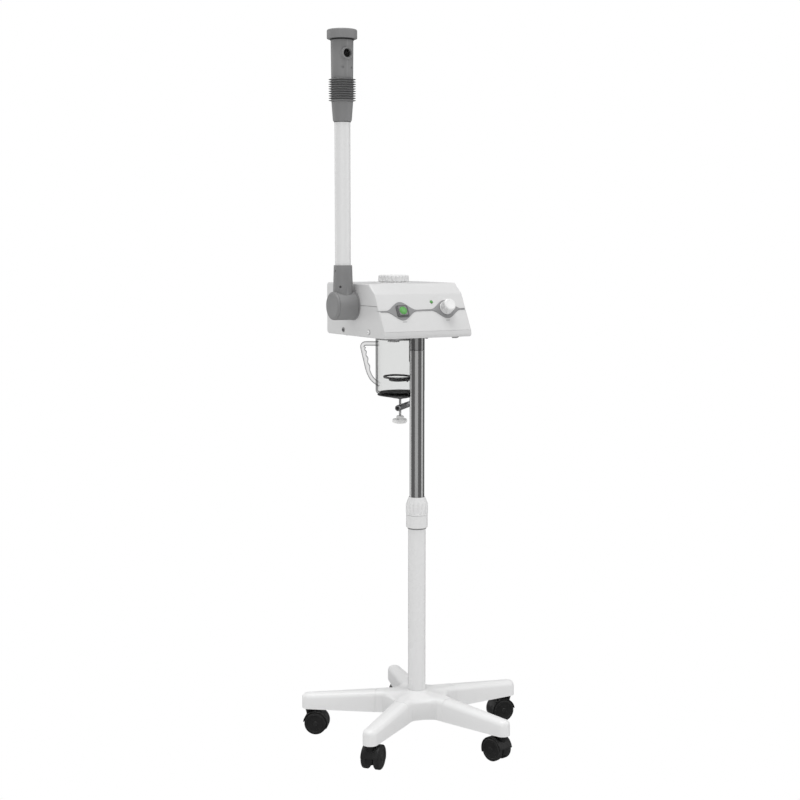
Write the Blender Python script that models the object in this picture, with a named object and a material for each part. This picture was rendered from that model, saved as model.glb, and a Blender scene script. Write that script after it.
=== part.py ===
"""Facial steamer on a five-leg castor stand, in metres, +Z up, front towards -Y.

Every length is measured from the column's axis at floor level. The empty named
"steamer" then shifts the whole object, so that the origin is the middle of its
footprint on the floor.
"""
from math import atan2, cos, degrees, pi, radians, sin, tan, tau

import bmesh
import bpy
from mathutils import Matrix, Vector

GAP = 0.0003                      # clearance between faces that touch in the real object

# Middle of the footprint to the column
COLUMN_X = -0.0203
COLUMN_Y = -0.0027

# Stand
LEG_COUNT = 5
LEG_REACH = 0.255                 # column axis to the end of a leg
LEG_TIP_R = 0.0157
LEG_TIP_CENTRE = LEG_REACH - LEG_TIP_R
LEG_TIP_TOP = 0.090
LEG_TAPER = 0.0306                # half width gained per metre towards the column
LEG_FALL = 0.0779                 # height gained per metre towards the column
LEG_ROOT = 0.090                  # joint between a leg and the hub's arm
LEG_UNDERSIDE = 0.0565
HUB_UNDERSIDE = 0.0560
HUB_TOP = 0.1065
HUB_CROWN_R = 0.0265
HUB_CORNER = 0.0735               # column axis to the line where the webs meet the arms
HUB_CORNER_DEG = 15
HUB_WEB_R = 0.0655                # column axis to the middle of a web
STEM_AT = LEG_REACH - 0.0165      # column axis to a castor's stem
STEM_R = 0.0055
STEM_TOP = 0.076

# Castors
WHEEL_R = 0.0245
WHEEL_W = 0.0125
WHEEL_MID = 0.0140                # castor's middle plane to a wheel's middle plane
TRAIL = 0.015                     # stem to axle
HOOD_R = 0.0275
HOOD_IN_R = 0.0253
HOOD_HALF = 0.0185
WEB_HALF = 0.0070
AXLE_R = 0.003
CASTOR_HEADINGS = (171, -25, -36, 40, 104)   # degrees, way each castor trails

# Column
LOWER_R = 0.019
LOWER_IN_R = 0.0175
LOWER_TOP = 0.500
COLLAR_LOW = 0.467
COLLAR_SPLIT = 0.4945
COLLAR_TOP = 0.534
COLLAR_R = 0.0235
RIB_TOP = 0.5190                  # where the clamping nut's ribs run out
MAST_R = 0.016
MAST_IN_R = 0.0145
MAST_LOW = 0.180
MAST_TOP = 0.8527

# Housing
HOUSE_HALF = 0.1079
HOUSE_BACK = 0.213
HOUSE_LOW = 0.881
HOUSE_TOP = 0.9943
CREASE = (-0.0477, 0.8948)        # y and z of the crease above the front lip
LIP_Y = -0.0503
BACK_ROUND = 0.008                # rounding of the back's upper and lower edges
LIP_ROUND = 0.006
BREAK = (-0.0075, 0.9725)         # y and z where the front turns towards the top
TOP_FRONT_Y = 0.0196
WALL = 0.0026
SPLIT_Z = 0.9478                  # joint between the two shells on the sides
SPLIT_FRONT_Z = 0.938             # and on the front
SPLIT_STEP_Y = -0.0165

# Front panel, measured up the slope from the crease
BUTTON_X = -0.0520
BUTTON_UP = 0.0478
KNOB_X = 0.0570
KNOB_UP = 0.0525
LED_X = 0.0254
LED_UP = 0.0684
BAND_SWELLS = ((-0.0536, 0.0483), (0.0570, 0.0505))
BAND_SWELL_HALF = 0.038
BAND_THICK = 0.0008
BUTTON_HALF = 0.0100
BUTTON_HOLE_HALF = BUTTON_HALF + 0.0008
SHAFT_R = 0.0030
SHAFT_HOLE_R = 0.0040
LED_R = 0.0036
LED_HOLE_R = LED_R + 0.0004

# Water jar
JAR_Y = 0.073
JAR_R = 0.0537
JAR_IN_R = 0.0512
JAR_LOW = 0.752
JAR_RIM = HOUSE_LOW - GAP
PLATE_APEX = 0.7405
FILL_Y = 0.102
PORT_X = -0.026                   # steam port in the jar's lid
PORT_HOLE_R = 0.0125
FILL_HOLE_R = 0.0135
TERMINAL_AT = (0.020, 0.056)      # x and y of the heating coil's terminal
TERMINAL_R = 0.0120
SHEATH_R = 0.0065                 # sleeve round the coil's leads
SHEATH_LOW = 0.8225

# Mains inlet on the back
INLET_X = 0.050
INLET_Z = 0.912

# Jar clamp
CLAMP_X = 0.0705
CLAMP_Y = 0.1395
CLAMP_Z = 0.7216
CLAMP_ROD_R = 0.0066
CLAMP_BEYOND = 0.018              # screw axis to the arm's free end
SCREW_R = 0.0028

# Steam arm
ARM_HOLE_R = 0.0150
ARM_X = -0.133
ARM_Y = 0.087
PIVOT_Z = 0.947
BARREL_R = 0.0308
BARREL_OUT = -0.1545               # outer end of the pivot barrel
NECK_TOP = 1.0336
TUBE_R = 0.01675
TUBE_IN_R = 0.0148
CONE_LOW = 1.336
CONE_TOP = 1.377
BELLOWS_TOP = 1.426
NOZZLE_TOP = 1.507
OUTLET_Z = 1.4762
TOTAL_TOP = 1.527


# ---------------------------------------------------------------- materials

def material(name, colour, roughness, metallic=0.0, transmission=0.0):
    made = bpy.data.materials.new(name)
    made.use_nodes = True
    shader = made.node_tree.nodes["Principled BSDF"]
    shader.inputs["Base Color"].default_value = (*colour, 1.0)
    shader.inputs["Roughness"].default_value = roughness
    shader.inputs["Metallic"].default_value = metallic
    shader.inputs["Transmission Weight"].default_value = transmission
    return made


def white_plastic():
    return material("white_plastic", (0.80, 0.80, 0.80), 0.35)


def white_paint():
    return material("white_paint", (0.78, 0.78, 0.78), 0.30)


def grey_plastic():
    return material("grey_plastic", (0.22, 0.22, 0.22), 0.50)


def grey_rubber():
    return material("grey_rubber", (0.13, 0.13, 0.13), 0.70)


def black_plastic():
    return material("black_plastic", (0.02, 0.02, 0.02), 0.45)


def chrome():
    return material("chrome", (0.75, 0.75, 0.76), 0.10, metallic=1.0)


def steel():
    return material("steel", (0.45, 0.45, 0.46), 0.30, metallic=1.0)


def heater_metal():
    return material("heater_metal", (0.03, 0.03, 0.03), 0.35, metallic=0.8)


def clear_glass():
    return material("clear_glass", (0.95, 0.96, 0.96), 0.03, transmission=1.0)


def green_lens():
    return material("green_lens", (0.10, 0.55, 0.08), 0.25)


def frosted_plastic():
    return material("frosted_plastic", (0.75, 0.75, 0.74), 0.30)


def circuit_green():
    return material("circuit_green", (0.03, 0.16, 0.08), 0.50)


# ---------------------------------------------------------------- mesh tools

def finish(bm, smooth_deg=38):
    """Close a bmesh into a mesh with its faces pointing out."""
    bmesh.ops.recalc_face_normals(bm, faces=bm.faces)
    mesh = bpy.data.meshes.new("shape")
    bm.to_mesh(mesh)
    bm.free()
    mesh.shade_smooth()
    mesh.set_sharp_from_angle(angle=radians(smooth_deg))
    return mesh


def loft(rings, ring_of_rings=False):
    """Skin rings that have the same number of points, with caps at the ends."""
    bm = bmesh.new()
    rows = [[bm.verts.new(point) for point in ring] for ring in rings]
    pairs = list(zip(rows, rows[1:]))
    if ring_of_rings:
        pairs.append((rows[-1], rows[0]))
    for low, high in pairs:
        for i in range(len(low)):
            j = (i + 1) % len(low)
            bm.faces.new((low[i], low[j], high[j], high[i]))
    if not ring_of_rings:
        bm.faces.new(rows[0])
        bm.faces.new(rows[-1])
    return finish(bm)


def turned(profile, steps=20, at=(0.0, 0.0)):
    """Spin a closed outline of (radius, z) points about a vertical axis.

    An outline that starts and ends on the axis gives a solid piece, and one that
    stays off it gives a ring.
    """
    bm = bmesh.new()
    on_axis = profile[0][0] == 0.0
    rows = []
    for radius, z in profile:
        if radius == 0.0:
            rows.append([bm.verts.new((at[0], at[1], z))])
            continue
        rows.append([bm.verts.new((at[0] + radius * cos(tau * i / steps),
                                   at[1] + radius * sin(tau * i / steps), z))
                     for i in range(steps)])
    pairs = list(zip(rows, rows[1:]))
    if not on_axis:
        pairs.append((rows[-1], rows[0]))
    for low, high in pairs:
        for i in range(steps):
            j = (i + 1) % steps
            corners = [low[i % len(low)], low[j % len(low)], high[j % len(high)], high[i % len(high)]]
            corners = list(dict.fromkeys(corners))
            bm.faces.new(corners)
    return finish(bm)


def prism(outline, low, high):
    """A flat outline of (x, y) points, raised from z = low to z = high."""
    return loft([[(x, y, z) for x, y in outline] for z in (low, high)])


def rounded_rectangle(half_x, half_y, radius, centre=(0.0, 0.0), steps=2):
    points = []
    for corner, (sx, sy) in enumerate(((1, 1), (-1, 1), (-1, -1), (1, -1))):
        for i in range(steps + 1):
            angle = pi / 2 * (corner + i / steps)
            points.append((centre[0] + sx * (half_x - radius) + radius * cos(angle),
                           centre[1] + sy * (half_y - radius) + radius * sin(angle)))
    return points


def disc(radius, steps=16, centre=(0.0, 0.0)):
    return [(centre[0] + radius * cos(tau * i / steps), centre[1] + radius * sin(tau * i / steps))
            for i in range(steps)]


def swept(points, radius, sides=8, flat=1.0):
    """A bar of round or oval section along a path, with flat ends."""
    path = [Vector(point) for point in points]
    along = (path[1] - path[0]).normalized()
    across = along.orthogonal().normalized()
    rings = []
    for i, point in enumerate(path):
        before = path[max(i - 1, 0)]
        after = path[min(i + 1, len(path) - 1)]
        new_along = (after - before).normalized()
        across = (across - new_along * across.dot(new_along)).normalized()
        up = new_along.cross(across)
        rings.append([point + radius * (cos(tau * k / sides) * across + flat * sin(tau * k / sides) * up)
                      for k in range(sides)])
    return loft(rings)


def smooth_path(points, per_span=4):
    """A Catmull-Rom curve through the given points."""
    path = [Vector(point) for point in points]
    path = [path[0] * 2 - path[1], *path, path[-1] * 2 - path[-2]]
    made = []
    for a, b, c, d in zip(path, path[1:], path[2:], path[3:]):
        for i in range(per_span):
            t = i / per_span
            made.append(0.5 * (2 * b + (c - a) * t + (2 * a - 5 * b + 4 * c - d) * t * t
                               + (3 * b - a - 3 * c + d) * t ** 3))
    made.append(path[-2])
    return made


def moved(mesh, offset=(0, 0, 0), turn=(0, 0, 0)):
    """Turn a mesh about X, then Y, then Z (degrees), and shift it."""
    for axis, angle in zip("XYZ", turn):
        mesh.transform(Matrix.Rotation(radians(angle), 4, axis))
    mesh.transform(Matrix.Translation(offset))
    return mesh


def carved(base, add=(), cut=(), smooth_deg=38):
    """Join meshes to a base mesh and cut others out of it."""
    work = bpy.data.objects.new("work", base)
    bpy.context.scene.collection.objects.link(work)
    tools = []
    for operation, meshes in (("UNION", add), ("DIFFERENCE", cut)):
        for mesh in meshes:
            tool = bpy.data.objects.new("tool", mesh)
            bpy.context.scene.collection.objects.link(tool)
            tools.append(tool)
            step = work.modifiers.new(operation.lower(), "BOOLEAN")
            step.operation = operation
            step.object = tool
            step.solver = "EXACT"
    seen = bpy.context.evaluated_depsgraph_get()
    result = bpy.data.meshes.new_from_object(work.evaluated_get(seen))
    for item in (work, *tools):
        bpy.data.objects.remove(item)
    result.materials.clear()
    result.shade_smooth()
    result.set_sharp_from_angle(angle=radians(smooth_deg))
    return result


def empty(name, location=(0, 0, 0), rotation_deg=(0, 0, 0), parent=None):
    made = bpy.data.objects.new(name, None)
    bpy.context.scene.collection.objects.link(made)
    made.parent = parent
    made.location = location
    made.rotation_euler = [radians(angle) for angle in rotation_deg]
    return made


def piece(name, mesh, finish_material, location=(0, 0, 0), turn_z=0.0, parent=None):
    """A named sub-part, whose mesh is measured from its own origin."""
    made = bpy.data.objects.new(name, mesh)
    bpy.context.scene.collection.objects.link(made)
    if not mesh.materials:
        mesh.materials.append(finish_material)
    made.parent = parent
    made.location = location
    made.rotation_euler = (0, 0, radians(turn_z))
    return made


def around(centre, profile, steps=20):
    """A turned mesh from heights in the object's frame, about a piece's own origin."""
    return turned([(radius, z - centre) for radius, z in profile], steps)


# ---------------------------------------------------------------- stand

def hub_outline():
    """Plan of the hub's core: a straight side across each arm and a hollow web between."""
    middle = 180 / LEG_COUNT
    corner_r = HUB_CORNER / cos(radians(HUB_CORNER_DEG))
    points = []
    for k in range(LEG_COUNT):
        for off in (-HUB_CORNER_DEG, 0, HUB_CORNER_DEG, 21, 28, middle, 44, 51):
            inward = 1 - abs(middle - off) / (middle - HUB_CORNER_DEG)
            if inward > 0:
                reach = HUB_WEB_R + (corner_r - HUB_WEB_R) * (1 - inward) ** 2
            else:
                reach = HUB_CORNER / cos(radians(off))
            points.append((reach, radians(off + 2 * middle * k)))
    return points


def hub_mesh():
    """The core with its webs, and an arm for each leg."""
    levels = ((0.0, HUB_UNDERSIDE, 0.0), (0.0, 0.0915, 0.0), (0.0016, 0.0953, 0.0),
              (0.0055, 0.0982, 0.0), (0.0055, 0.1040, 0.75), (0.0055, 0.1056, 1.0))
    rings = []
    for inset, z, blend in levels:
        ring = []
        for reach, angle in hub_outline():
            radius = (reach - inset) * (1 - blend) + HUB_CROWN_R * blend
            ring.append((radius * cos(angle), radius * sin(angle), z))
        rings.append(ring)
    rings.append([(0.0225 * cos(angle), 0.0225 * sin(angle), HUB_TOP) for _, angle in hub_outline()])
    arms = []
    for k in range(LEG_COUNT):
        reaches = (0.0090, 0.0275, 0.060, LEG_ROOT - GAP)
        arm = loft([leg_section(reach, leg_half(reach), min(leg_top(reach), HUB_TOP)) for reach in reaches])
        arms.append(moved(arm, turn=(0, 0, 360 / LEG_COUNT * k)))
    bore = prism(disc(LOWER_R + GAP, 40), 0.04, 0.12)
    return carved(loft(rings), add=arms, cut=(bore,))


def leg_half(reach):
    return LEG_TIP_R + LEG_TAPER * (LEG_TIP_CENTRE - reach)


def leg_top(reach):
    return LEG_TIP_TOP + LEG_FALL * (LEG_TIP_CENTRE - reach)


def leg_section(reach, half, top, underside=LEG_UNDERSIDE):
    """Inverted-U outline across a leg, at one distance from the column."""
    shoulder = min(0.012, half * 0.8)
    drop = 0.011
    side = [(half, underside), (half, top - drop)]
    for step in (1, 2, 3):
        angle = pi / 2 * step / 3
        side.append((half - shoulder * (1 - cos(angle)), top - drop * (1 - sin(angle))))
    return [(reach, y, z) for y, z in side] + [(reach, -y, z) for y, z in reversed(side)]


def leg_mesh():
    """One leg along +X, hollow underneath, with a round end and a stem socket."""
    sections = []
    for reach in (LEG_ROOT, 0.12, 0.16, 0.20, LEG_TIP_CENTRE):
        sections.append(leg_section(reach, leg_half(reach), leg_top(reach)))
    for angle in (25, 50, 70, 84):
        half = LEG_TIP_R * cos(radians(angle))
        reach = LEG_TIP_CENTRE + LEG_TIP_R * sin(radians(angle))
        top = LEG_TIP_TOP - 0.011 * (1 - cos(radians(angle)))
        sections.append(leg_section(reach, half, top))
    outer = loft(sections)
    pocket_end = STEM_AT - 0.022
    pocket = loft([[(x, y, z) for y, z in ((w, 0.05), (w, h), (-w, h), (-w, 0.05))]
                   for x, w, h in ((LEG_ROOT + 0.004, 0.0170, 0.091), (pocket_end, 0.0135, 0.082))])
    socket = prism(disc(STEM_R + GAP, 12, (STEM_AT, 0)), 0.04, STEM_TOP + 0.002)
    return carved(outer, cut=(pocket, socket))


def build_stand(base):
    piece("base_hub", hub_mesh(), WHITE_PLASTIC, parent=base)
    leg = leg_mesh()
    for k in range(LEG_COUNT):
        piece(f"base_leg_{k + 1}", leg, WHITE_PLASTIC, turn_z=360 / LEG_COUNT * k, parent=base)
    bolt = turned([(0, 0.0485), (0.0065, 0.0485), (0.0065, 0.0535), (0.016, 0.0535),
                   (0.016, HUB_UNDERSIDE - GAP), (0.004, HUB_UNDERSIDE - GAP), (0.004, 0.070),
                   (0, 0.070)], 12)
    piece("column_bolt", bolt, STEEL, parent=base)


# ---------------------------------------------------------------- castors

def castor_body_mesh():
    """Hood, middle web, axle and stem; the stem is at the origin and it trails to +X."""
    first, last = -22, 172
    steps = 8
    outer = []
    inner = []
    for i in range(steps + 1):
        angle = radians(first + (last - first) * i / steps)
        outer.append((TRAIL + HOOD_R * cos(angle), HOOD_R * sin(angle)))
        inner.append((TRAIL + HOOD_IN_R * cos(angle), HOOD_IN_R * sin(angle)))
    hood = moved(prism(outer + inner[::-1], -HOOD_HALF, HOOD_HALF), turn=(90, 0, 0))
    web_outline = [(TRAIL + 0.0262 * cos(radians(a)), 0.0262 * sin(radians(a)))
                   for a in range(-40, 201, 30)]
    web = moved(prism(web_outline, -WEB_HALF, WEB_HALF), turn=(90, 0, 0))
    axle = moved(prism(disc(AXLE_R, 8, (TRAIL, 0)), -0.019, 0.019), turn=(90, 0, 0))
    seat = turned([(0, 0.008), (0.0068, 0.008), (0.0068, 0.018), (0.0098, 0.0285),
                   (0.0098, LEG_UNDERSIDE - GAP - WHEEL_R), (STEM_R, LEG_UNDERSIDE - GAP - WHEEL_R),
                   (STEM_R, STEM_TOP - WHEEL_R), (0, STEM_TOP - WHEEL_R)], 10)
    return moved(carved(hood, add=(web, axle, seat)), offset=(0, 0, WHEEL_R))


def wheel_mesh():
    """A wheel on the Y axis, with a domed outer face and a blind axle hole."""
    half = WHEEL_W / 2
    rim = [(0, half), (0.0205, half - 0.0008), (WHEEL_R, half - 0.0050), (WHEEL_R, -half),
           (AXLE_R + GAP, -half), (AXLE_R + GAP, half - 0.0010), (0, half - 0.0010)]
    return moved(turned(rim, 20), turn=(-90, 0, 0))


def build_castors(base):
    body = castor_body_mesh()
    right = wheel_mesh()
    left = moved(wheel_mesh(), turn=(0, 0, 180))
    for k, heading in enumerate(CASTOR_HEADINGS):
        leg = tau * k / LEG_COUNT
        stem = empty(f"castor_{k + 1}_swivel", (STEM_AT * cos(leg), STEM_AT * sin(leg), 0),
                     (0, 0, heading), base)
        piece(f"castor_{k + 1}_body", body, BLACK_PLASTIC, parent=stem)
        piece(f"castor_{k + 1}_wheel_left", right, BLACK_PLASTIC, (TRAIL, WHEEL_MID, WHEEL_R), parent=stem)
        piece(f"castor_{k + 1}_wheel_right", left, BLACK_PLASTIC, (TRAIL, -WHEEL_MID, WHEEL_R), parent=stem)


# ---------------------------------------------------------------- column

def nut_mesh():
    """Clamping nut: fluted round the middle, with a tapered crown."""
    flutes = 14
    per_flute = 2
    count = flutes * per_flute
    low = COLLAR_SPLIT + GAP

    def ring(radius, z, depth=0.0):
        return [((radius - depth * (i % per_flute)) * cos(tau * i / count),
                 (radius - depth * (i % per_flute)) * sin(tau * i / count), z) for i in range(count)]

    rib = COLLAR_R + 0.0006
    groove = 0.0014
    rings = [ring(0.0205, low), ring(COLLAR_R - 0.001, low), ring(COLLAR_R, low + 0.0015),
             ring(rib, low + 0.004, groove), ring(rib, RIB_TOP, groove), ring(COLLAR_R - 0.0014, 0.5230),
             ring(0.0201, 0.5280), ring(0.0176, COLLAR_TOP), ring(MAST_R + GAP, COLLAR_TOP),
             ring(MAST_R + GAP, 0.506), ring(0.0205, 0.506)]
    return loft(rings, ring_of_rings=True)


def build_column(base):
    tube = turned([(LOWER_IN_R, 0.0565), (LOWER_R, 0.0565), (LOWER_R, LOWER_TOP), (LOWER_IN_R, LOWER_TOP)])
    piece("lower_column", tube, WHITE_PAINT, parent=base)
    ring = turned([(LOWER_R + GAP, COLLAR_LOW), (0.0205, COLLAR_LOW), (COLLAR_R, COLLAR_LOW + 0.004),
                   (COLLAR_R, COLLAR_SPLIT - 0.001), (COLLAR_R - 0.001, COLLAR_SPLIT),
                   (LOWER_R + GAP, COLLAR_SPLIT)])
    piece("collar_base", ring, WHITE_PLASTIC, parent=base)
    bush = turned([(MAST_R + GAP, 0.440), (LOWER_IN_R - GAP, 0.440), (LOWER_IN_R - GAP, LOWER_TOP + GAP),
                   (LOWER_R, LOWER_TOP + GAP), (LOWER_R, 0.5035), (MAST_R + GAP, 0.5035)])
    piece("column_bush", bush, BLACK_PLASTIC, parent=base)
    piece("collar_nut", nut_mesh(), WHITE_PLASTIC, parent=base)
    mast = turned([(MAST_IN_R, MAST_LOW), (MAST_R, MAST_LOW), (MAST_R, MAST_TOP - GAP - 0.0006),
                   (MAST_R - 0.0006, MAST_TOP - GAP), (MAST_IN_R, MAST_TOP - GAP)])
    piece("mast_tube", mast, CHROME, parent=base)
    spigot_r = MAST_IN_R - GAP
    socket = turned([(0, 0.800), (spigot_r, 0.800), (spigot_r, MAST_TOP), (MAST_R - 0.0006, MAST_TOP),
                     (MAST_R, MAST_TOP + 0.0006), (MAST_R, HOUSE_LOW + WALL + GAP),
                     (0.030, HOUSE_LOW + WALL + GAP), (0.030, HOUSE_LOW + 0.007),
                     (0, HOUSE_LOW + 0.007)])
    piece("mast_socket", socket, CHROME, parent=base)


# ---------------------------------------------------------------- housing

def side_outline(inset=0.0):
    """Side view of the housing as (y, z) points, moved in by a wall's thickness."""
    outline = [Vector(p) for p in ((HOUSE_BACK, HOUSE_LOW), (HOUSE_BACK, HOUSE_TOP),
                                   (TOP_FRONT_Y, HOUSE_TOP), BREAK, CREASE, (LIP_Y, HOUSE_LOW))]
    rounds = (BACK_ROUND, BACK_ROUND, 0, 0, 0, LIP_ROUND)
    corners = []
    for i, here in enumerate(outline):
        before = (here - outline[i - 1]).normalized()
        after = (outline[(i + 1) % len(outline)] - here).normalized()
        normal = Vector((-before.y - after.y, before.x + after.x)).normalized()
        share = normal.dot(Vector((-before.y, before.x)))
        corners.append(here + normal * inset / share)
    made = []
    for i, corner in enumerate(corners):
        after = corners[(i + 1) % len(corners)]
        made += rounded_corner(corners[i - 1], corner, after, rounds[i] - inset)
    return made


def rounded_corner(before, corner, after, radius, steps=3):
    """Points of the arc that rounds a corner, or the corner if it stays sharp."""
    if radius <= 0:
        return [corner]
    back = (before - corner).normalized()
    ahead = (after - corner).normalized()
    half = back.angle(ahead) / 2
    centre = corner + (back + ahead).normalized() * radius / sin(half)
    start = corner + back * radius / tan(half) - centre
    end = corner + ahead * radius / tan(half) - centre
    return [centre + start.lerp(end, i / steps).normalized() * radius for i in range(steps + 1)]


def side_prism(outline, half):
    """A side outline, run across the object from -half to +half."""
    return loft([[(x, y, z) for y, z in outline] for x in (-half, half)])


def rounded_block():
    """The housing's outer form, with its edges rounded."""
    mesh = side_prism(side_outline(), HOUSE_HALF)
    bm = bmesh.new()
    bm.from_mesh(mesh)
    sharp = [e for e in bm.edges if e.calc_face_angle(0) > radians(50)]
    bmesh.ops.bevel(bm, geom=sharp, offset=0.003, segments=1, profile=0.5, affect="EDGES",
                    clamp_overlap=True)
    return finish(bm)


def shell_split(upper):
    """Block that removes everything below, or above, the joint between the shells."""
    side = SPLIT_Z + (GAP if upper else 0.0)
    front = SPLIT_FRONT_Z + (GAP if upper else 0.0)
    step = SPLIT_STEP_Y - (GAP if upper else 0.0)
    far = 0.70 if upper else 1.2
    outline = [(0.4, side), (step, side), (step, front), (-0.3, front), (-0.3, far), (0.4, far)]
    return side_prism(outline, 0.3)


def panel_to_object(mesh):
    """Stand a mesh made on the front panel's plane (x across, y up the slope)."""
    return moved(mesh, (0, CREASE[0], CREASE[1]), (PANEL_TILT, 0, 0))


def upright_hole(radius, x, y, low, high):
    return prism(disc(radius, 16, (x, y)), low, high)


def button_hole(low, high):
    half = BUTTON_HOLE_HALF
    return prism(rounded_rectangle(half, half, 0.002, (BUTTON_X, BUTTON_UP)), low, high)


def shaft_hole(low, high):
    return prism(disc(SHAFT_HOLE_R, 16, (KNOB_X, KNOB_UP)), low, high)


def front_holes():
    """Holes through the front for the button, the timer's shaft and the indicator."""
    low, high = -0.02, 0.02
    led_hole = prism(disc(LED_HOLE_R, 16, (LED_X, LED_UP)), low, high)
    return [panel_to_object(mesh) for mesh in (button_hole(low, high), shaft_hole(low, high), led_hole)]


def arm_hole():
    """Room for the steam pipe, which crosses the joint between the shells."""
    return moved(prism(disc(ARM_HOLE_R, 16), -0.12, -0.095), (0, ARM_Y, PIVOT_Z), (0, 90, 0))


def shell_mesh(upper, holes):
    """One of the two shells: the housing's form, hollowed, split and pierced."""
    inner = side_prism(side_outline(WALL), HOUSE_HALF - WALL)
    return carved(rounded_block(), cut=(inner, shell_split(upper), arm_hole(), *front_holes(), *holes))


def housing_lower_mesh():
    low, high = HOUSE_LOW - 0.011, HOUSE_LOW + 0.009
    inlet = prism(rounded_rectangle(0.0145, 0.0105, 0.002, (INLET_X, INLET_Z)), -0.215, -0.195)
    return shell_mesh(False, (upright_hole(MAST_R + GAP, 0, 0, low, high),
                              upright_hole(PORT_HOLE_R, PORT_X, JAR_Y, low, high),
                              upright_hole(PORT_HOLE_R, *TERMINAL_AT, low, high),
                              upright_hole(FILL_HOLE_R, 0, FILL_Y, low, high),
                              moved(inlet, turn=(90, 0, 0))))


def housing_upper_mesh():
    return shell_mesh(True, (upright_hole(0.0235, 0, FILL_Y, 0.98, 1.01),))


def band_mesh():
    """Wavy trim that swells round the button and the knob."""
    end = HOUSE_HALF - 0.0035
    count = 32

    def half_height(x):
        swell = 0.0016
        for centre, _ in BAND_SWELLS:
            if abs(x - centre) < BAND_SWELL_HALF:
                swell += 0.0195 * cos(pi * (x - centre) / (2 * BAND_SWELL_HALF)) ** 2
        return swell

    def middle(x):
        (x0, up0), (x1, up1) = BAND_SWELLS
        return up0 + (up1 - up0) * min(max((x - x0) / (x1 - x0), 0), 1)

    xs = [-end + 2 * end * i / count for i in range(count + 1)]
    outline = [(x, middle(x) - half_height(x)) for x in xs]
    outline += [(x, middle(x) + half_height(x)) for x in reversed(xs)]
    band = prism(outline, GAP, GAP + BAND_THICK)
    return carved(band, cut=(button_hole(-0.01, 0.01), shaft_hole(-0.01, 0.01)))


def build_controls(panel):
    """Everything on the sloping front; z is the height above its surface."""
    band_top = GAP + BAND_THICK
    piece("wave_band", band_mesh(), GREY_PLASTIC, parent=panel)
    bezel = carved(prism(rounded_rectangle(0.0142, 0.0132, 0.003), 0, 0.0026),
                   cut=(prism(rounded_rectangle(BUTTON_HALF + GAP, BUTTON_HALF + GAP, 0.002), -1, 1),))
    piece("button_bezel", bezel, GREY_PLASTIC, (BUTTON_X, BUTTON_UP, band_top + GAP), parent=panel)
    button = carved(prism(rounded_rectangle(BUTTON_HALF, BUTTON_HALF, 0.0018), -0.0060, 0.0056),
                    cut=(prism(disc(0.0088 + GAP, 16), 0.0036, 0.01),))
    piece("power_button", button, GREY_PLASTIC, (BUTTON_X, BUTTON_UP, 0), parent=panel)
    lens = turned([(0, 0.0036 + GAP), (0.0088, 0.0036 + GAP), (0.0088, 0.0060), (0.0070, 0.0070),
                   (0.0035, 0.0076), (0, 0.0078)], 16)
    piece("button_lens", lens, GREEN_LENS, (BUTTON_X, BUTTON_UP, 0), parent=panel)
    led = turned([(0, -0.004), (LED_R, -0.004), (LED_R, 0.0006), (0.0022, 0.0017), (0, 0.0021)], 16)
    piece("indicator_lens", led, GREEN_LENS, (LED_X, LED_UP, 0), parent=panel)
    timer = carved(prism(rounded_rectangle(0.0150, 0.0150, 0.002), -0.022, -WALL - GAP),
                   add=(prism(disc(SHAFT_R, 16), -0.010, 0.0185),))
    piece("timer_unit", timer, STEEL, (KNOB_X, KNOB_UP, 0), parent=panel)
    piece("timer_knob", knob_mesh(band_top + GAP), WHITE_PLASTIC, (KNOB_X, KNOB_UP, 0), parent=panel)


def knob_mesh(low):
    """Round knob, fluted below a plain rim, with a hole for the shaft."""
    count = 28
    levels = ((0.0150, low, 0), (0.0150, low + 0.0012, 0), (0.0146, low + 0.0022, 0.0009),
              (0.0138, low + 0.0172, 0.0009), (0.0136, low + 0.0182, 0), (0.0128, low + 0.0203, 0),
              (0.0090, low + 0.0210, 0))
    rings = [[((r - cut * (i % 2)) * cos(tau * i / count), (r - cut * (i % 2)) * sin(tau * i / count), z)
              for i in range(count)] for r, z, cut in levels]
    knob = loft(rings)
    return carved(knob, cut=(prism(disc(SHAFT_R + GAP, 16), -0.01, 0.0188),))


def build_housing(head, panel):
    piece("housing_lower", housing_lower_mesh(), WHITE_PLASTIC, parent=head)
    piece("housing_upper", housing_upper_mesh(), WHITE_PLASTIC, parent=head)
    build_controls(panel)
    board = carved(prism(rounded_rectangle(0.030, 0.025, 0.002, (0.060, 0.140)), 0.8895, 0.8911),
                   add=(prism(rounded_rectangle(0.010, 0.008, 0.001, (0.070, 0.148)), 0.891, 0.907),
                        prism(disc(0.006, 12, (0.048, 0.132)), 0.891, 0.904)))
    piece("control_board", board, CIRCUIT_GREEN, parent=head)
    back = HOUSE_BACK + GAP
    inlet = carved(prism(rounded_rectangle(0.0240, 0.0140, 0.003, (INLET_X, INLET_Z)), -back - 0.003, -back),
                   add=(prism(rounded_rectangle(0.0142, 0.0102, 0.002, (INLET_X, INLET_Z)),
                              -back - 0.001, -back + 0.022),),
                   cut=(prism(rounded_rectangle(0.0118, 0.0078, 0.002, (INLET_X, INLET_Z)),
                              -back - 0.01, -back + 0.0165),))
    piece("power_inlet", moved(inlet, turn=(90, 0, 0)), BLACK_PLASTIC, parent=head)
    for name, y in (("side_screw_front", 0.0185), ("side_screw_rear", 0.1335)):
        screw = turned([(0, 0), (0.0048, 0), (0.0042, 0.0016), (0.0022, 0.0026), (0, 0.0028)], 16)
        place = (-HOUSE_HALF - GAP, y, 0.8925)
        piece(name, moved(screw, place, (0, -90, 0)), STEEL, parent=head)


# ---------------------------------------------------------------- water and steam

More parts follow.
